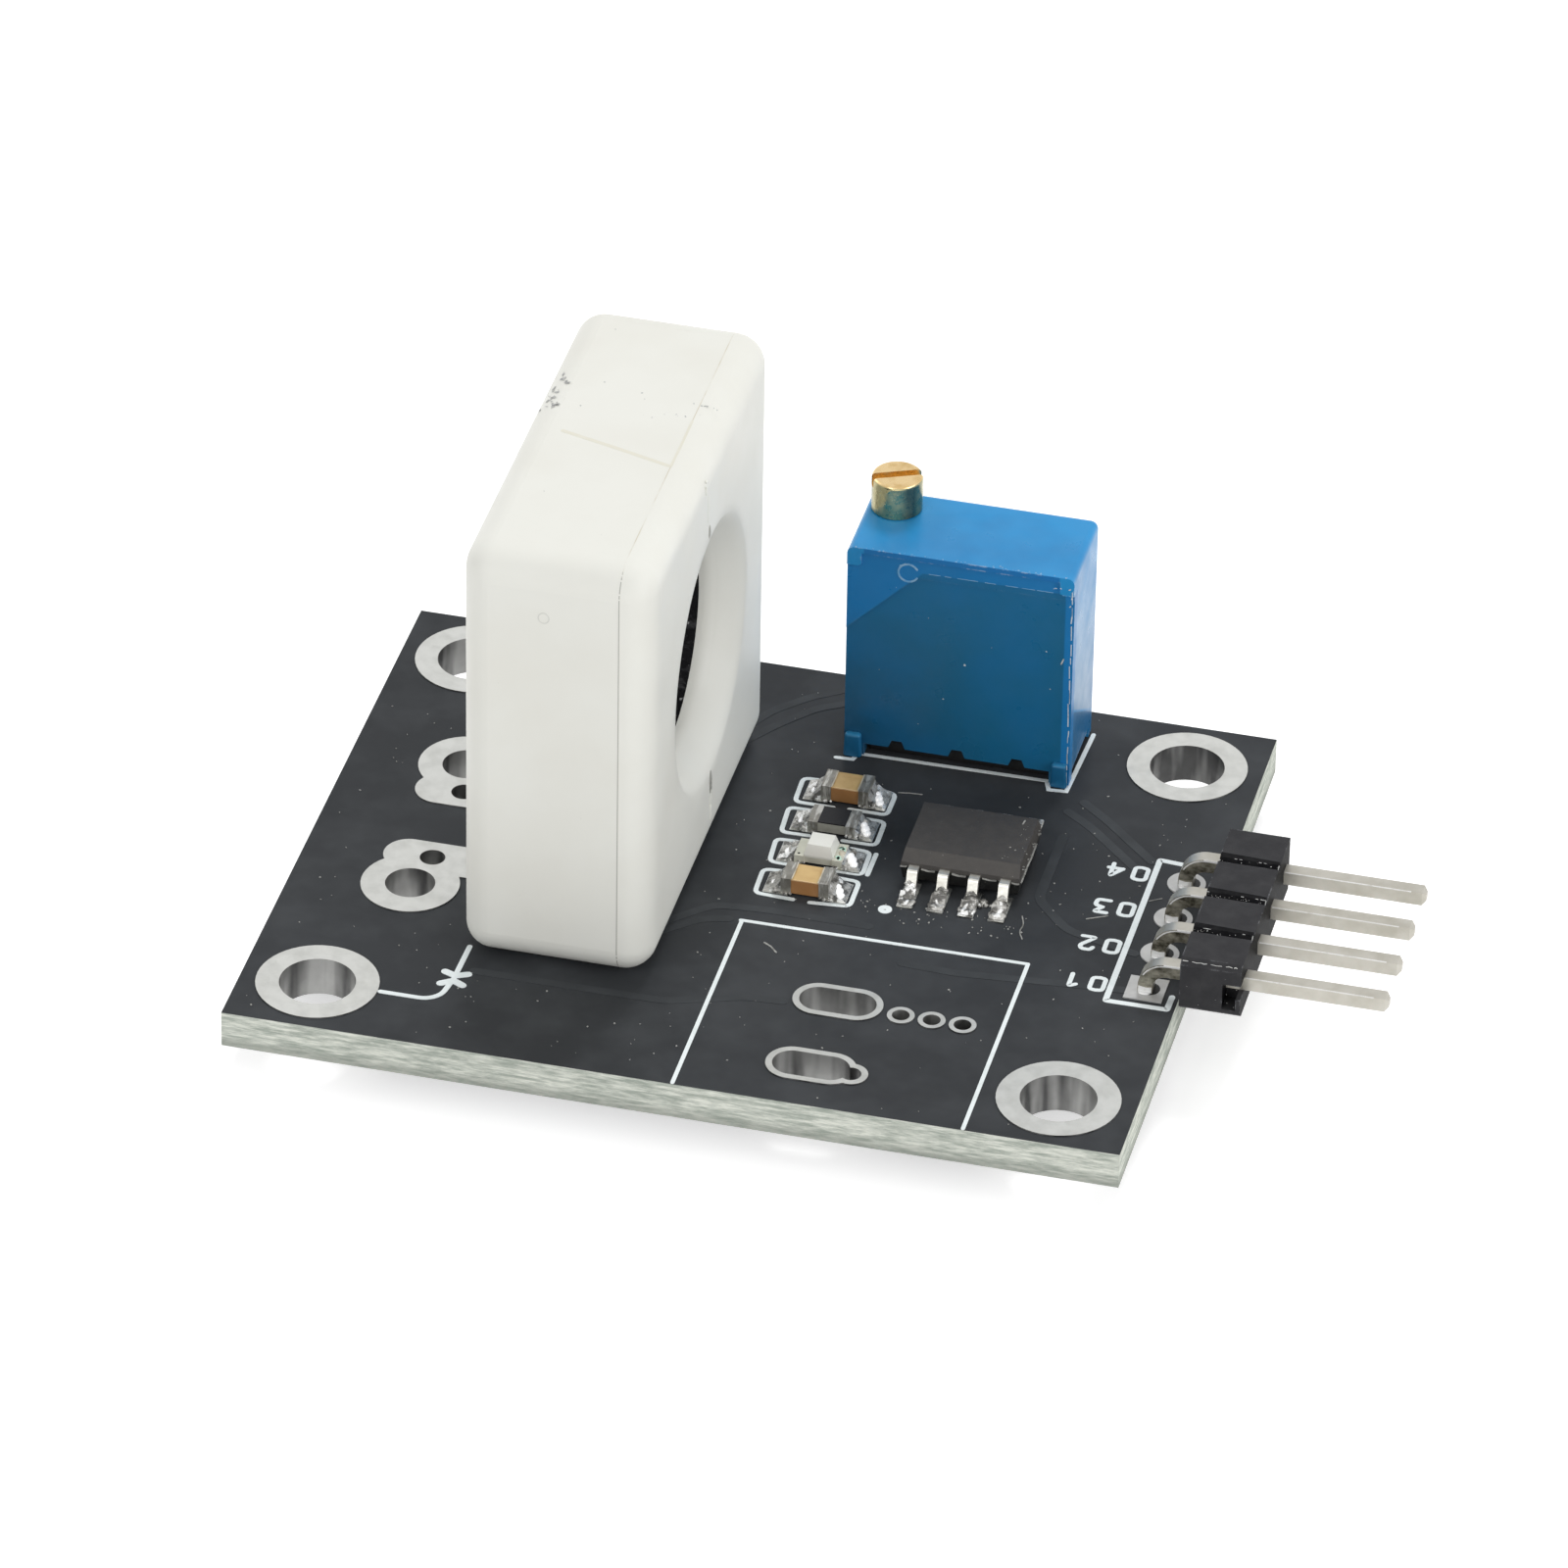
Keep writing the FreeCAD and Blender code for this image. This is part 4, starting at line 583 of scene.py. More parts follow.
# the digits' strokes, in shares of a digit's width and height
DIGITS = {
    "0": (((0.31, 0.0), (0.0, 0.05), (0.0, 0.95), (0.31, 1.0)),
          ((0.31, 1.0), (0.62, 0.95), (0.62, 0.05), (0.31, 0.0))),
    "1": (((0.12, 0.78), (0.42, 1.0), (0.42, 0.0)),),
    "2": (((0.0, 0.80), (0.10, 1.0), (0.52, 1.0), (0.62, 0.72), (0.0, 0.0), (0.64, 0.0)),),
    "3": (((0.0, 1.0), (0.60, 1.0), (0.26, 0.58)), ((0.26, 0.58), (0.64, 0.46), (0.60, 0.0), (0.0, 0.0))),
    "4": (((0.50, 0.0), (0.50, 1.0), (0.0, 0.34)), ((0.0, 0.34), (0.68, 0.34)))}
DIGIT_WIDTH = 0.874
DIGIT_HEIGHT = 0.88
DIGIT_FOOT = 0.45
NUMBER_START = 15.30
NUMBER_STEP = 1.02
PIN_ROWS = (-3.95, -1.27, 1.40, 4.02)


def board_print():
    marks = Marks("board_print", "print_white", "sensor_white", (0, 0, BOARD_TOP))
    for line in CHIP_BRACKETS:
        marks.stroke(line, PRINT_WIDTH, PRINT_ROUND)
    marks.stroke(((4.30, 1.05), (4.30, 2.57)), PRINT_WIDTH)
    # the spare footprint, the dot at the amplifier, and the frames of trimmer and header
    marks.stroke(((12.02, -3.34), (0.10, -3.38)), FOOTPRINT_WIDTH)
    marks.stroke(((0.15, -3.38), (0.20, -14.91)), FOOTPRINT_WIDTH)
    marks.stroke(((12.02, -3.34), (12.04, -14.91)), FOOTPRINT_WIDTH)
    marks.disc(5.56, -1.12, 0.29)
    marks.stroke(((1.05, 8.94), (1.75, 8.98), (1.89, 9.46), (9.85, 9.55), (10.07, 8.94), (10.80, 9.00),
                  (10.98, 13.34)), OUTLINE_WIDTH)
    marks.stroke(((16.64, 5.11), (15.60, 5.19), (15.58, -4.97), (18.10, -4.95), (18.12, -4.06)),
                 HEADER_FRAME_WIDTH, 0.06)
    current_symbol(marks)
    pin_numbers(marks)
    marks.done()


def current_symbol(marks):
    """The arrow of the current that is measured."""
    marks.stroke(((-12.65, -11.96), (-10.75, -11.96), (-10.22, -11.55), (-10.04, -10.36)), SYMBOL_WIDTH, 0.5)
    marks.stroke(((-10.04, -10.36), (-10.00, -8.02)), SYMBOL_WIDTH)
    marks.stroke(((-10.50, -9.94), (-10.02, -10.13), (-9.56, -9.90)), ARROW_WIDTH)
    marks.stroke(((-10.47, -10.78), (-10.02, -10.47), (-9.58, -10.70)), ARROW_WIDTH)


def pin_numbers(marks):
    """Plain numbers at the pins, which read from the header's side."""
    for number, y in enumerate(PIN_ROWS, start=1):
        for place, digit in enumerate("0" + str(number)):
            start = NUMBER_START - place * NUMBER_STEP
            foot = y + DIGIT_FOOT
            for line in DIGITS[digit]:
                marks.stroke([(start - DIGIT_WIDTH * x, foot - DIGIT_HEIGHT * up) for x, up in line],
                             OUTLINE_WIDTH, 0.14)


def board_traces():
    """Copper runs that show as faint raised strips under the mask."""
    runs = (
        ((11.2, 7.6), (12.3, 6.8), (14.9, 4.2)),
        ((11.7, 8.4), (12.9, 7.4), (15.3, 5.0)),
        ((-3.4, 8.3), (-1.9, 10.6), (-0.6, 12.2), (1.2, 13.3)),
        ((-3.4, 9.6), (-2.3, 11.6), (-1.0, 13.0), (0.6, 14.1)),
        ((-3.0, -4.4), (-1.2, -2.6), (0.9, -2.4), (5.2, -2.45)),
        ((-3.2, -5.3), (-1.5, -3.7), (-0.4, -3.4)),
        ((11.4, 5.8), (11.4, 1.2), (13.0, -0.6), (16.0, -1.5)),
        ((3.1, -8.4), (1.6, -8.5), (-1.5, -9.6), (-9.4, -9.6)),
        ((7.1, -4.6), (9.4, -4.7), (13.4, -4.3), (16.4, -4.05)))
    marks = Marks("board_traces", "mask_trace", "board_laminate", (0, 0, BOARD_TOP), thick=0.014)
    for line in runs:
        marks.stroke(line, 0.42, 0.5)
    marks.done()


HOLE_PLACE = (15.25, 12.0)
RING_REACH = 2.6
# what covers or opens the board, by its lower and upper corner
TAKEN = ((-15.7, -6.6, -8.4, 6.6), (-11.0, -9.2, -2.0, 11.0), (1.0, 8.8, 11.2, 14.2), (3.2, -9.1, 7.8, -6.6),
         (3.2, -13.7, 7.8, -11.1), (7.2, -8.9, 11.1, -7.4), (16.0, -4.9, 18.2, 4.6))


def is_bare(x, y):
    """Whether the board has its mask here, with no hole, ring, block or trimmer."""
    if math.hypot(abs(x) - HOLE_PLACE[0], abs(y) - HOLE_PLACE[1]) < RING_REACH:
        return False
    return not any(low_x < x < high_x and low_y < y < high_y for low_x, low_y, high_x, high_y in TAKEN)


def board_dust():
    """Dust, flux crumbs and fibres that lie on the board."""
    marks = Marks("board_dust", "dust", "element_ceramic", (0, 0, BOARD_TOP + 0.002), thick=0.02)
    for _ in range(300):
        x = uniform(-17.8, 18.0)
        y = uniform(-14.6, 14.6)
        size = choice((0.05, 0.06, 0.07, 0.07, 0.09, 0.12))
        if is_bare(x, y):
            marks.flake(x, y, size)
    marks.scatter(45, (3.6, 11.4), (-1.9, -0.6), (0.06, 0.09, 0.13))
    marks.scatter(16, (10.9, 14.0), (-0.4, 6.4), (0.05, 0.07, 0.10))
    marks.stroke(((1.40, -4.65), (1.72, -4.85), (2.02, -5.19)), 0.07, 0.1)
    marks.stroke(((4.15, 7.12), (4.60, 7.20), (5.12, 7.24)), 0.045)
    marks.stroke(((13.6, 0.35), (14.4, 0.78)), 0.05)
    marks.stroke(((15.8, 2.25), (16.25, 2.55)), 0.045)
    marks.stroke(((11.05, -0.15), (11.25, -0.75), (11.15, -1.2), (11.4, -1.7)), 0.05, 0.3)
    marks.done()


board_print()
board_traces()
board_dust()


# The sensing block's seam and marks

CASE_LOW, CASE_HIGH = (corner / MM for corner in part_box("sensor_case"))
SEAM_CORNER = 1.35
# the seam's band in section, by x from the seam and by reach past the corner
SEAM_SECTION = ((-0.022, -0.06), (-0.022, 0.004), (0.022, 0.004), (0.022, -0.06))
BACK_EDGE = 1.15
TOP_SPECKS = (
    (-7.81, 4.64, 0.12), (-6.17, 4.26, 0.13), (-3.96, 4.03, 0.17), (-5.95, 3.85, 0.07),
    (-5.33, 2.6, 0.10), (-4.44, 3.07, 0.11), (-8.4, 8.6, 0.10), (-8.1, -3.74, 0.09),
    (-4.9, 2.95, 0.06), (-5.7, 2.7, 0.05), (-8.3, 2.7, 0.10), (-5.1, -6.2, 0.06),
    (-3.62, 3.95, 0.12), (-3.48, 3.98, 0.17), (-3.38, 3.97, 0.10), (-3.10, 3.92, 0.09),
    (-2.95, 3.80, 0.09), (-4.05, 3.02, 0.14), (-4.35, 2.98, 0.08), (-3.52, 3.3, 0.08))
# scuffs on the rounded left edge: lean in degrees, place, spread and count
SCUFFS = ((12, 2.55, 0.10, 9), (22, 2.50, 0.10, 7), (16, 4.35, 0.16, 8), (27, 4.75, 0.18, 9),
          (30, 3.10, 0.16, 8), (38, 3.95, 0.28, 12), (44, 2.9, 0.2, 6), (24, 3.55, 0.10, 5))
# runs of moulding material above and below the mouth: y, z and size
DRIPS = ((-0.26, 19.95, (0.10, 0.16, 0.42)), (-0.16, 20.32, (0.07, 0.22, 0.12)),
         (0.10, 18.9, (0.05, 0.05, 1.5)), (0.38, 17.62, (0.12, 0.20, 0.66)),
         (1.08, 5.05, (0.13, 0.26, 1.15)), (1.16, 3.42, (0.12, 0.26, 0.85)),
         (0.98, 4.2, (0.05, 0.05, 1.1)), (1.30, 4.25, (0.05, 0.05, 1.1)))


def block_seam():
    back = CASE_HIGH.y - SEAM_CORNER
    front = CASE_LOW.y + SEAM_CORNER
    upper = CASE_HIGH.z - SEAM_CORNER
    lower = CASE_LOW.z + SEAM_CORNER
    seam = bmesh.new()
    rings = []
    for y, z, start in ((back, upper, 0), (front, upper, 90), (front, lower, 180), (back, lower, 270)):
        for step in range(9):
            angle = math.radians(start + 90 * step / 8)
            rings.append([seam.verts.new((CASE_HIGH.x + side, y + (SEAM_CORNER + out) * math.cos(angle),
                                          z + (SEAM_CORNER + out) * math.sin(angle)))
                          for side, out in SEAM_SECTION])
    for before, after in zip(rings, rings[1:] + rings[:1]):
        side_faces(seam, before, after)
    new_piece("block_seam", seam, "seam_line", smooth=False)


def block_top_marks():
    """Pencil lines, specks, and scuffs along the rounded left edge."""
    seam_x, _, top = CASE_HIGH
    pencil = Marks("block_pencil_line", "pencil_cream", "sensor_white", (0, 0, top), thick=0.006)
    pencil.stroke(((-8.50, 0.72), (-6.2, 0.07), (-3.80, -0.66)), 0.19)
    pencil.stroke(((seam_x, -0.66), (seam_x + 0.01, 1.2), (seam_x, 2.75)), 0.11)
    pencil.done()

    specks = Marks("block_specks", "smudge", "sensor_white", (0, 0, top), thick=0.005)
    specks.flakes(TOP_SPECKS)
    middle = Vector((CASE_LOW.x + BACK_EDGE, 0, top - BACK_EDGE))
    for lean, y, spread, count in SCUFFS:
        slope = Matrix.Rotation(math.radians(-lean), 4, "Y")
        slope.translation = middle + slope @ Vector((0, 0, BACK_EDGE + 0.012))
        specks.frame = slope
        for _ in range(count):
            specks.flake(gauss(0, 0.09), gauss(y, spread), choice((0.08, 0.13, 0.20)))
    specks.done()


def block_face_marks():
    """The gate's mark on the front, and the runs at the mouth."""
    front = Marks("block_gate_mark", "mark_grey", "sensor_white", (0, CASE_LOW.y, 0), FRONT, thick=0.008)
    front.stroke(arc(-6.76, 18.60, 0.22, 0.24, range(100, 451, 25)), 0.05)
    front.flakes(((-8.6, 15.2, 0.06), (-5.2, 9.3, 0.05), (-7.7, 5.1, 0.06), (-4.6, 12.7, 0.05)))
    front.done()
    drips = bmesh.new()
    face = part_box("sensor_cover")[1].x / MM
    for number, (y, z, size) in enumerate(DRIPS):
        lump(drips, (face, y, z), size, 300 + number, 0.12)
    new_piece("cover_drips", drips, "sensor_white")


block_seam()
block_top_marks()
block_face_marks()


# Solder, glints and crumbs at the leads

CHIP_ROWS = [sum(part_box(name + "_ends"), Vector()) / 2 / MM
             for name in ("rear_capacitor", "resistor", "lamp", "front_capacitor")]


# lumps along a lead's end: place behind the toe, height, unevenness and size
LEAD_LUMPS = ((0.70, 0.44, 0.30, (0.34, 0.24, 0.34)), (0.50, 0.22, 0.35, (0.46, 0.34, 0.42)),
              (0.22, 0.17, 0.35, (0.54, 0.46, 0.36)), (-0.08, 0.12, 0.30, (0.58, 0.50, 0.28)),
              (-0.36, 0.06, 0.07, (0.76, 0.68, 0.20)))
REAR_LEAD_SHARE = 0.72
# a crumb cluster beside the third lead, and lumps at each end of a chip: place and size
CLUSTER = ((0.52, 0.42, 0.30), (0.66, 0.26, 0.20), (0.84, 0.30, 0.13), (0.44, 0.16, 0.22))
END_LUMPS = ((1.34, -0.42, 0.40), (1.42, 0.12, 0.46), (1.20, 0.46, 0.34), (1.18, -0.62, 0.22),
             (0.80, -0.66, 0.16), (0.62, -0.64, 0.12))
# painted highlights by a chip's middle: place, lift, size, step of the seed and unevenness
GLINTS = ((1.22, 0.06, 0.20, (0.30, 0.42, 0.26), 0, 0.10), (1.34, -0.20, 0.20, (0.36, 0.52, 0.24), 0, 0.10),
          (1.47, -0.46, 0.20, (0.32, 0.40, 0.18), 0, 0.10), (1.12, -0.56, 0.10, (0.22, 0.16, 0.10), 1, 0.5),
          (-1.42, -0.10, 0.12, (0.16, 0.40, 0.10), 2, 0.5))


def lead_solder():
    built = bmesh.new()
    seed = 1
    centre_y = sum(corner.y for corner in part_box("amplifier_body")) / 2 / MM
    for number in range(1, 9):
        low, high = (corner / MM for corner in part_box("amplifier_lead_%d" % number))
        x = (low.x + high.x) / 2
        side = 1 if low.y > centre_y else -1
        toe = high.y if side > 0 else low.y
        full = 1.0 if side < 0 else REAR_LEAD_SHARE
        for back, rise, rough, size in LEAD_LUMPS:
            shift = uniform(-0.04, 0.04)
            lump(built, (x + shift, toe - side * back, PAD_TOP + rise), [part * full for part in size],
                 seed, rough)
            seed += 1
    low, high = (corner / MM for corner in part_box("amplifier_lead_3"))
    for off_x, off_y, size in CLUSTER:
        lump(built, (high.x - 0.21 + off_x, low.y + off_y, BOARD_TOP + size * 0.3), (size, size, size * 0.7),
             seed, 0.6)
        seed += 1
    new_piece("amplifier_solder_lumps", built, "solder")


def chip_solder():
    built = bmesh.new()
    glints = bmesh.new()
    seed = 60
    for middle in CHIP_ROWS:
        for side in (-1, 1):
            for along, across, size in END_LUMPS:
                high = max(0.10, 0.42 - (along - 1.05) * 0.9) if along > 1.1 else 0.12
                lump(built, (middle.x + side * (along + uniform(-0.05, 0.05)),
                             middle.y + across, PAD_TOP + high * 0.35), (size, size * 1.1, high), seed, 0.5)
                seed += 1
        for along, across, lift, size, step, rough in GLINTS:
            lump(glints, (middle.x + along, middle.y + across, PAD_TOP + lift), size, seed + step, rough)
        seed += 3
    new_piece("chip_solder_lumps", built, "solder")
    new_piece("chip_solder_glints", glints, "solder_glint")


def capacitor_details():
    """Bright borders between the ends and the bodies, and a painted highlight along the bodies' front edges.
    """
    for name in ("rear_capacitor", "front_capacitor"):
        low, high = (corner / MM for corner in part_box(name + "_ends"))
        lines = Marks(name + "_borders", "border_beige", "tin_end", (0, 0, high.z - 0.004), thick=0.012)
        for x in (low.x + 0.45, high.x - 0.45):
            lines.stroke(((x, low.y + 0.06), (x + 0.01, (low.y + high.y) / 2), (x, high.y - 0.06)), 0.055)
        lines.done()
        body_low, body_high = (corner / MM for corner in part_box(name + "_body"))
        # painted highlight: a light line along each body's top front edge
        rim = Marks(name + "_front_edge", "capacitor_edge_highlight", "capacitor_tan",
                    (0, body_low.y + 0.02, body_high.z - 0.02), FRONT_EDGE, thick=0.014)
        middle = (body_low.x + body_high.x) / 2
        rim.stroke(((body_low.x + 0.06, 0.0), (middle, 0.006), (body_high.x - 0.06, 0.0)), 0.05)
        rim.done()


def lamp_details():
    """Green patches at the lamp's right end, a bead, and dark dots."""
    low, high = (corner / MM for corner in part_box("lamp_ends"))
    leaves = Marks("lamp_green_patches", "leaf_green", "lamp_green", (0, 0, high.z - 0.004), thick=0.012)
    for x, y, size in ((1.80, 0.94, 0.20), (1.90, 0.86, 0.16), (1.80, 0.26, 0.19), (1.86, 0.17, 0.15)):
        leaves.flake(low.x + x, low.y + y, size * 1.7)
        leaves.flake(low.x + x - 0.06, low.y + y + 0.05, size * 1.4)
    leaves.done()
    bead = bmesh.new()
    lump(bead, (low.x + 1.86, (low.y + high.y) / 2, high.z), (0.26, 0.34, 0.12), 410, 0.35)
    new_piece("lamp_bead", bead, "border_beige")
    dots = Marks("lamp_dots", "pit_black", "moulded_black", (0, 0, high.z - 0.004), thick=0.010)
    dots.disc(low.x + 0.16, low.y + 0.16, 0.055)
    dots.flake(low.x + 1.90, low.y + 0.60, 0.12)
    dots.done()

GROOVES = (-2.765, -0.225, 2.315)
GROOVE_HALF = 0.28
GROOVE_DEPTH = 0.25
GROOVE_STEPS = 24


def header_pin_details():
    """Painted shadows round the pins, painted highlights on their feet and along their edges, and solder in
    front.
    """
    pits = Marks("header_hole_shadows", "pit_black", "header_black", (0, 0, PAD_TOP), thick=0.006)
    built = bmesh.new()
    # painted highlights: pale slabs on the feet's fronts and pale lines along the pins' edges
    feet = Marks("header_pin_feet", "solder_highlight_white", "solder", (0, 0, 0), FRONT, thick=0.015)
    edge_highlights = Marks("header_pin_ridges", "solder_highlight_white", "solder", (0, 0, 0), FRONT_EDGE, thick=0.012)
    for number in range(1, 5):
        low, high = (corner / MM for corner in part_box("header_pin_%d" % number))
        x = low.x + (high.y - low.y) / 2
        y = (low.y + high.y) / 2
        pits.disc(x + 0.10, y + 0.02, 0.47, squeeze=0.95)
        feet.frame.translation = Vector((x, low.y + 0.002, PAD_TOP))
        feet.slab(((-0.28, 0.0), (0.27, 0.02), (0.26, 0.30), (0.02, 0.27), (-0.27, 0.33)))
        # a painted highlight follows the bend's outer edge
        feet.stroke(arc(0.85, 0.34, 1.09, 1.09, range(150, 89, -10)) + [(1.50, 1.43)], 0.055)
        edge_highlights.frame.translation = Vector((0, low.y + 0.012, high.z - 0.012))
        edge_highlights.stroke(((17.75, -0.01), (18.50, 0.0)), 0.045)
        edge_highlights.stroke(((21.12, 0.0), (23.6, 0.004), (26.3, 0.0)), 0.045)
        # a real solder lump in front of each pin, painted white as a highlight
        lump(built, (x - 0.02, y - 0.36, PAD_TOP + 0.02), (0.50, 0.16, 0.12), 130 + number, 0.25)
    feet.done()
    edge_highlights.done()
    pits.done()
    new_piece("header_pin_fillets", built, "solder_highlight_white")


def header_grooves():
    """Painted shade as dark sheets on the slopes and a dark band before each groove, with grey marks at the
    lips.
    """
    low, high = (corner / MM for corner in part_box("header_strip"))
    slope = ((1, 0, 0), (0, GROOVE_HALF, GROOVE_DEPTH))
    # painted shade: near-black sheets on the groove slopes and dark bands on the top before them
    slopes = Marks("header_groove_slope_shade", "groove_shade_black", "header_black", (0, 0, 0), slope, thick=0.010)
    lips = Marks("header_groove_lips", "smudge", "header_black", (0, 0, 0), slope, thick=0.018)
    bands = Marks("header_groove_shade_bands", "groove_shade_black", "header_black", (0, 0, high.z), thick=0.006)
    rise = math.hypot(GROOVE_HALF, GROOVE_DEPTH)
    first = low.x + 0.02
    last = high.x - 0.07
    length = high.x - low.x - 0.08
    for groove in GROOVES:
        slopes.frame.translation = lips.frame.translation = Vector((0, groove, high.z - GROOVE_DEPTH))
        bands.slab(((first, groove + 0.27), (last, groove + 0.26), (last, groove + 0.50),
                    (low.x + 1.3, groove + 0.55), (first, groove + 0.60)))
        for k in range(GROOVE_STEPS):
            start = first + length * k / GROOVE_STEPS
            end = first + length * (k + 1) / GROOVE_STEPS
            upper = rise - uniform(-0.01, 0.012)
            slopes.slab(((start, 0.004), (end, 0.004), (end, upper), (start, upper)))
            if random.random() < 0.22:
                lips.stroke(((start, rise - 0.01), (end, rise - 0.015)), uniform(0.015, 0.035), ends=2)
            if random.random() < 0.45:
                lips.flake(uniform(start, end), uniform(0.04, rise - 0.05),
                           choice((0.03, 0.05, 0.07)))
        lips.stroke(((high.x - 0.05, 0.03), (high.x - 0.04, rise - 0.03)), 0.03)
    slopes.done()
    lips.done()
    bands.done()


def header_wear():
    """A broken light line along the front edge, and crumbs on the strip."""
    low, high = (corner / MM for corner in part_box("header_strip"))
    edge = Marks("header_front_edge", "smudge", "header_black", (0, low.y + 0.02, high.z - 0.02), FRONT_EDGE)
    x = low.x + 0.1
    while x < high.x - 0.3:
        length = uniform(0.10, 0.45)
        edge.stroke(((x, 0.0), (x + length / 2, uniform(-0.03, 0.03)), (x + length, 0.0)),
                    uniform(0.02, 0.045), ends=2)
        x += length + uniform(0.02, 0.22)
    edge.done()
    crumbs = bmesh.new()
    lump(crumbs, (18.60, -3.70, 2.35), (0.16, 0.10, 0.20), 148, 0.7, detail=2)
    for k in range(24):
        groove = choice(GROOVES)
        lump(crumbs, (uniform(low.x + 0.05, high.x - 0.05), groove + uniform(0.02, 0.26),
                      high.z - uniform(0.02, 0.10)), (0.04, 0.03, 0.03), 150 + k, 0.6, detail=1)
    for k in range(30):
        lump(crumbs, (uniform(low.x + 0.1, high.x - 0.1), low.y + uniform(0.0, 0.05),
                      uniform(low.z + 0.2, high.z - 0.2)), (0.05, 0.02, 0.03), 230 + k, 0.6, detail=1)
    new_piece("header_crumbs", crumbs, "dust")


def amplifier_flash():
    """Thin moulding flash along the parting line, and crumbs on the right end."""
    low, high = (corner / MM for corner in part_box("amplifier_body"))
    parting = PAD_TOP + 0.75
    front = Marks("amplifier_flash_front", "dust", "element_ceramic", (0, low.y + 0.01, parting), FRONT,
                  thick=0.07)
    for start, end, sink in ((5.70, 5.95, 0.02), (6.58, 7.12, -0.03), (7.86, 8.42, -0.03),
                             (9.12, 9.68, -0.02), (10.34, 10.64, -0.01)):
        middle = (start + end) / 2
        front.stroke(((start, 0.0), (middle, sink - 0.02), (end, sink)), 0.035)
    front.done()
    end = Marks("amplifier_flash_end", "dust", "element_ceramic", (high.x - 0.01, 0, parting), RIGHT,
                thick=0.06)
    end.stroke(((low.y + 0.1, -0.02), (low.y + 1.3, 0.01), (low.y + 2.0, -0.03), (low.y + 2.9, 0.02)), 0.035)
    for _ in range(14):
        end.flake(uniform(low.y + 0.2, high.y - 0.1), uniform(-0.1, 0.5), 0.08)
    end.done()
    crumbs = Marks("amplifier_crumbs", "dust", "element_ceramic", (0, 0, high.z), thick=0.012)
    for _ in range(16):
        crumbs.flake(gauss(high.x - 0.45, 0.22), uniform(low.y + 0.5, high.y - 0.2),
                     choice((0.04, 0.05, 0.09)))
    crumbs.stroke(((high.x - 0.62, high.y - 0.35), (high.x - 0.66, high.y - 0.62)), 0.06)
    crumbs.done()


FOOT_SPANS = ((1.29, 2.08), (10.04, 10.78))
FOOT_DEPTH = 0.36
FOOT_HEIGHT = 1.14
FOOT_MIDDLE = 2.18
FOOT_TAPER = 0.86
FOOT_ROUND = 0.13


def trimmer_worn_marks():
    """The panel's moulded ring, its worn ears and the broken line along its top."""
    low, high = (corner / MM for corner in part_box("trimmer_panel"))
    worn = Marks("trimmer_worn_marks", "worn_blue", "trimmer_blue", (0, low.y, 0), FRONT)
    worn.stroke(arc(3.84, 11.00, 0.42, 0.42, range(30, 331, 20)), 0.085)
    worn.flakes(((3.5, 11.3, 0.10), (3.7, 11.42, 0.08), (4.2, 10.75, 0.10), (3.9, 10.58, 0.12),
                 (9.95, 11.30, 0.10), (3.35, 10.2, 0.06)))
    x = 4.7
    while x < 9.6:
        length = uniform(0.2, 0.9)
        worn.stroke(((x, 11.08), (x + length, 11.08)), 0.022, thick=0.008, ends=2)
        x += length + uniform(0.05, 0.4) * (x / 5)
    worn.done()

    specks = Marks("trimmer_specks", "burr_pale", "trimmer_blue", (0, low.y + 0.06, 0), FRONT, thick=0.015)
    specks.flakes(((6.29, 6.85, 0.11), (9.69, 8.12, 0.08), (5.42, 5.02, 0.09), (4.72, 8.9, 0.06),
                   (7.4, 7.9, 0.05), (9.9, 6.3, 0.06), (2.7, 6.0, 0.05), (4.4, 3.6, 0.05)))
    specks.stroke(((10.33, 7.62), (10.42, 7.86)), 0.06)
    specks.done()


def trimmer_edge_marks():
    """The burr on the right front edge, and worn spots along the top's front edge."""
    low, high = (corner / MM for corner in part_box("trimmer_case"))
    burr = Marks("trimmer_edge_burr", "burr_pale", "trimmer_blue", (0, low.y, 0), FRONT)
    z = 1.9
    while z < 11.2:
        length = uniform(0.15, 0.7)
        x = high.x - 0.055 + uniform(-0.03, 0.02)
        ends = ((x, z), (x + uniform(-0.02, 0.02), z + length))
        burr.stroke(ends, uniform(0.018, 0.05), ends=3)
        z += length + uniform(0.0, 0.25)
    for x, z in ((10.05, 11.40), (10.25, 11.42), (10.62, 11.42), (10.72, 11.0), (10.66, 10.6)):
        burr.flake(x, z, 0.12)
    burr.done()

    rim = Marks("trimmer_top_specks", "worn_blue", "trimmer_blue", (0, 0, high.z), thick=0.012)
    for _ in range(46):
        rim.flake(uniform(1.6, 10.5), low.y + abs(gauss(0.05, 0.05)) + 0.03,
                  choice((0.04, 0.06, 0.10)))
    rim.done()


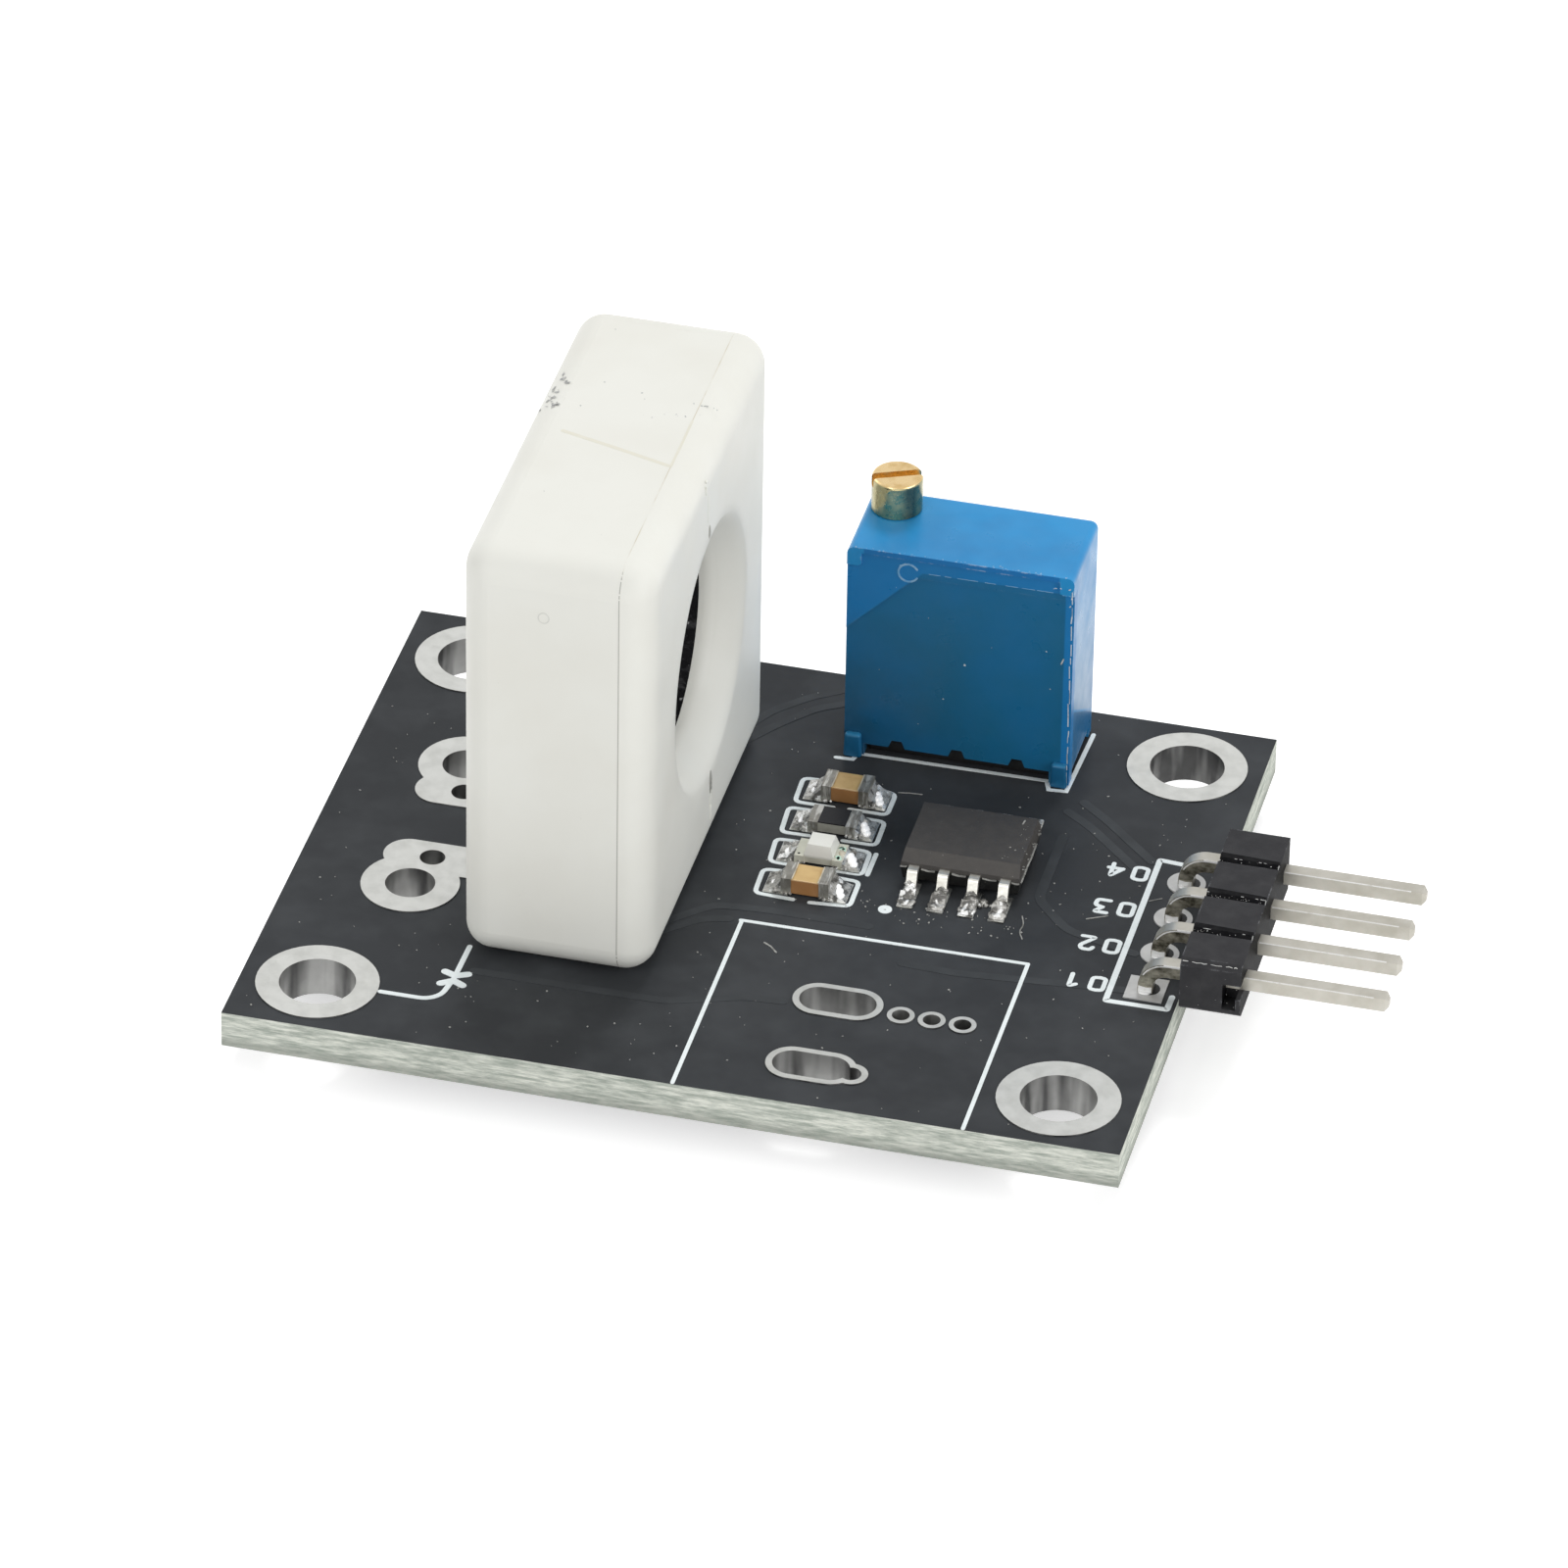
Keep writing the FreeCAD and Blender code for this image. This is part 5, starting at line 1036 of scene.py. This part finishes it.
def trimmer_feet():
    """A painted-shadow sheet in the gap below the panel, and a rounded front on each foot."""
    panel_back = (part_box("trimmer_panel")[1] / MM).y
    dark = Marks("trimmer_gap_shadow", "pit_black", "trimmer_blue", (0, panel_back + 0.04, 0), FRONT)
    dark.slab(((2.2, 1.62), (9.95, 1.62), (9.95, 2.95), (2.2, 2.95)))
    dark.done()
    front = (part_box("trimmer_case")[0] / MM).y + 0.06
    feet = bmesh.new()
    for start, end in FOOT_SPANS:
        for vert in bmesh.ops.create_cube(feet, size=1.0)["verts"]:
            wide = (end - start) * (FOOT_TAPER if vert.co.z > 0 else 1.0)
            vert.co = Vector(((start + end) / 2 + vert.co.x * wide, front + vert.co.y * FOOT_DEPTH,
                              FOOT_MIDDLE + vert.co.z * FOOT_HEIGHT))
    bmesh.ops.bevel(feet, geom=list(feet.edges), offset=FOOT_ROUND, segments=4, profile=0.5, affect="EDGES")
    new_piece("trimmer_foot_fronts", feet, "foot_blue")


lead_solder()
chip_solder()
capacitor_details()
lamp_details()
trimmer_worn_marks()
trimmer_edge_marks()
trimmer_feet()
header_pin_details()
header_grooves()
header_wear()
amplifier_flash()


# Camera, lights, floor

LENS_MM = 259.83
CAMERA_PLACE = (0.088187, -0.366817, 0.266279)
CAMERA_FORWARD = (-0.19037, 0.80086, -0.56779)
CAMERA_UP = (-0.14859, 0.54820, 0.82304)
LAMP_TARGET = (0, 0, 0.005)
AMBIENT_LIGHT = 0.40
FLOOR_HALF = 3.0
FLOOR_GLOW = 0.58


def linked(name, data):
    made = bpy.data.objects.new(name, data)
    bpy.context.scene.collection.objects.link(made)
    return made


def any_ray(tree, *kinds):
    """1 where a ray is of one of the kinds."""
    path = node(tree, "LightPath").outputs
    found = path[kinds[0]]
    for kind in kinds[1:]:
        found = node(tree, "Math", found, path[kind], operation="MAXIMUM").outputs[0]
    return found


def camera():
    made = linked("camera", bpy.data.cameras.new("camera"))
    bpy.context.scene.camera = made
    made.data.sensor_width = 36
    made.data.lens = LENS_MM
    made.data.clip_start = 0.01
    made.data.clip_end = 10
    forward = Vector(CAMERA_FORWARD).normalized()
    right = forward.cross(Vector(CAMERA_UP)).normalized()
    place = Matrix((right, right.cross(forward), -forward)).transposed().to_4x4()
    place.translation = CAMERA_PLACE
    made.matrix_world = place


def lamp(name, place, size, power, mirrored=True):
    light = bpy.data.lights.new(name, "AREA")
    light.shape = "SQUARE"
    light.size = size
    light.energy = power
    made = linked(name, light)
    made.location = place
    made.visible_glossy = mirrored
    made.rotation_mode = "QUATERNION"
    made.rotation_quaternion = (Vector(LAMP_TARGET) - Vector(place)).to_track_quat("-Z", "Y")


def world():
    """White where it is seen, mirrored or shines through, and dimmer as a light."""
    made = bpy.data.worlds.new("studio")
    bpy.context.scene.world = made
    made.use_nodes = True
    tree = made.node_tree
    background = tree.nodes["Background"].inputs
    background["Color"].default_value = (1, 1, 1, 1)
    seen = any_ray(tree, "Is Camera Ray", "Is Glossy Ray", "Is Transmission Ray")
    strength = node(tree, "MapRange", Value=seen, To_Min=AMBIENT_LIGHT)
    tree.links.new(strength.outputs[0], background["Strength"])


def floor():
    """A white floor that glows a little where it is seen or mirrored."""
    mesh = bpy.data.meshes.new("floor")
    made = linked("floor", mesh)
    corners = ((-1, -1), (1, -1), (1, 1), (-1, 1))
    mesh.from_pydata([(x * FLOOR_HALF, y * FLOOR_HALF, cad_low.z) for x, y in corners], [], [(0, 1, 2, 3)])
    material = bpy.data.materials.new("floor")
    material.use_nodes = True
    tree = material.node_tree
    tree.nodes.clear()
    diffuse = node(tree, "BsdfDiffuse", Color=(0.80, 0.80, 0.80, 1))
    seen = any_ray(tree, "Is Camera Ray", "Is Glossy Ray")
    lit = node(tree, "Math", seen, FLOOR_GLOW, operation="MULTIPLY")
    glow = node(tree, "Emission", Strength=lit.outputs[0])
    both = node(tree, "AddShader", diffuse.outputs[0], glow.outputs[0])
    node(tree, "OutputMaterial", Surface=both.outputs[0])
    mesh.materials.append(material)


camera()
world()
lamp("key_light", (-0.30, -0.60, 0.34), 0.5, 1.6)
lamp("back_light", (0.02, 0.50, 0.70), 0.28, 3.0, mirrored=False)
lamp("side_light", (0.75, -0.25, 0.32), 0.5, 3.0)
lamp("rim_light", (-0.70, 0.25, 0.45), 0.4, 0.8)
floor()
bpy.context.scene.view_settings.view_transform = "Standard"
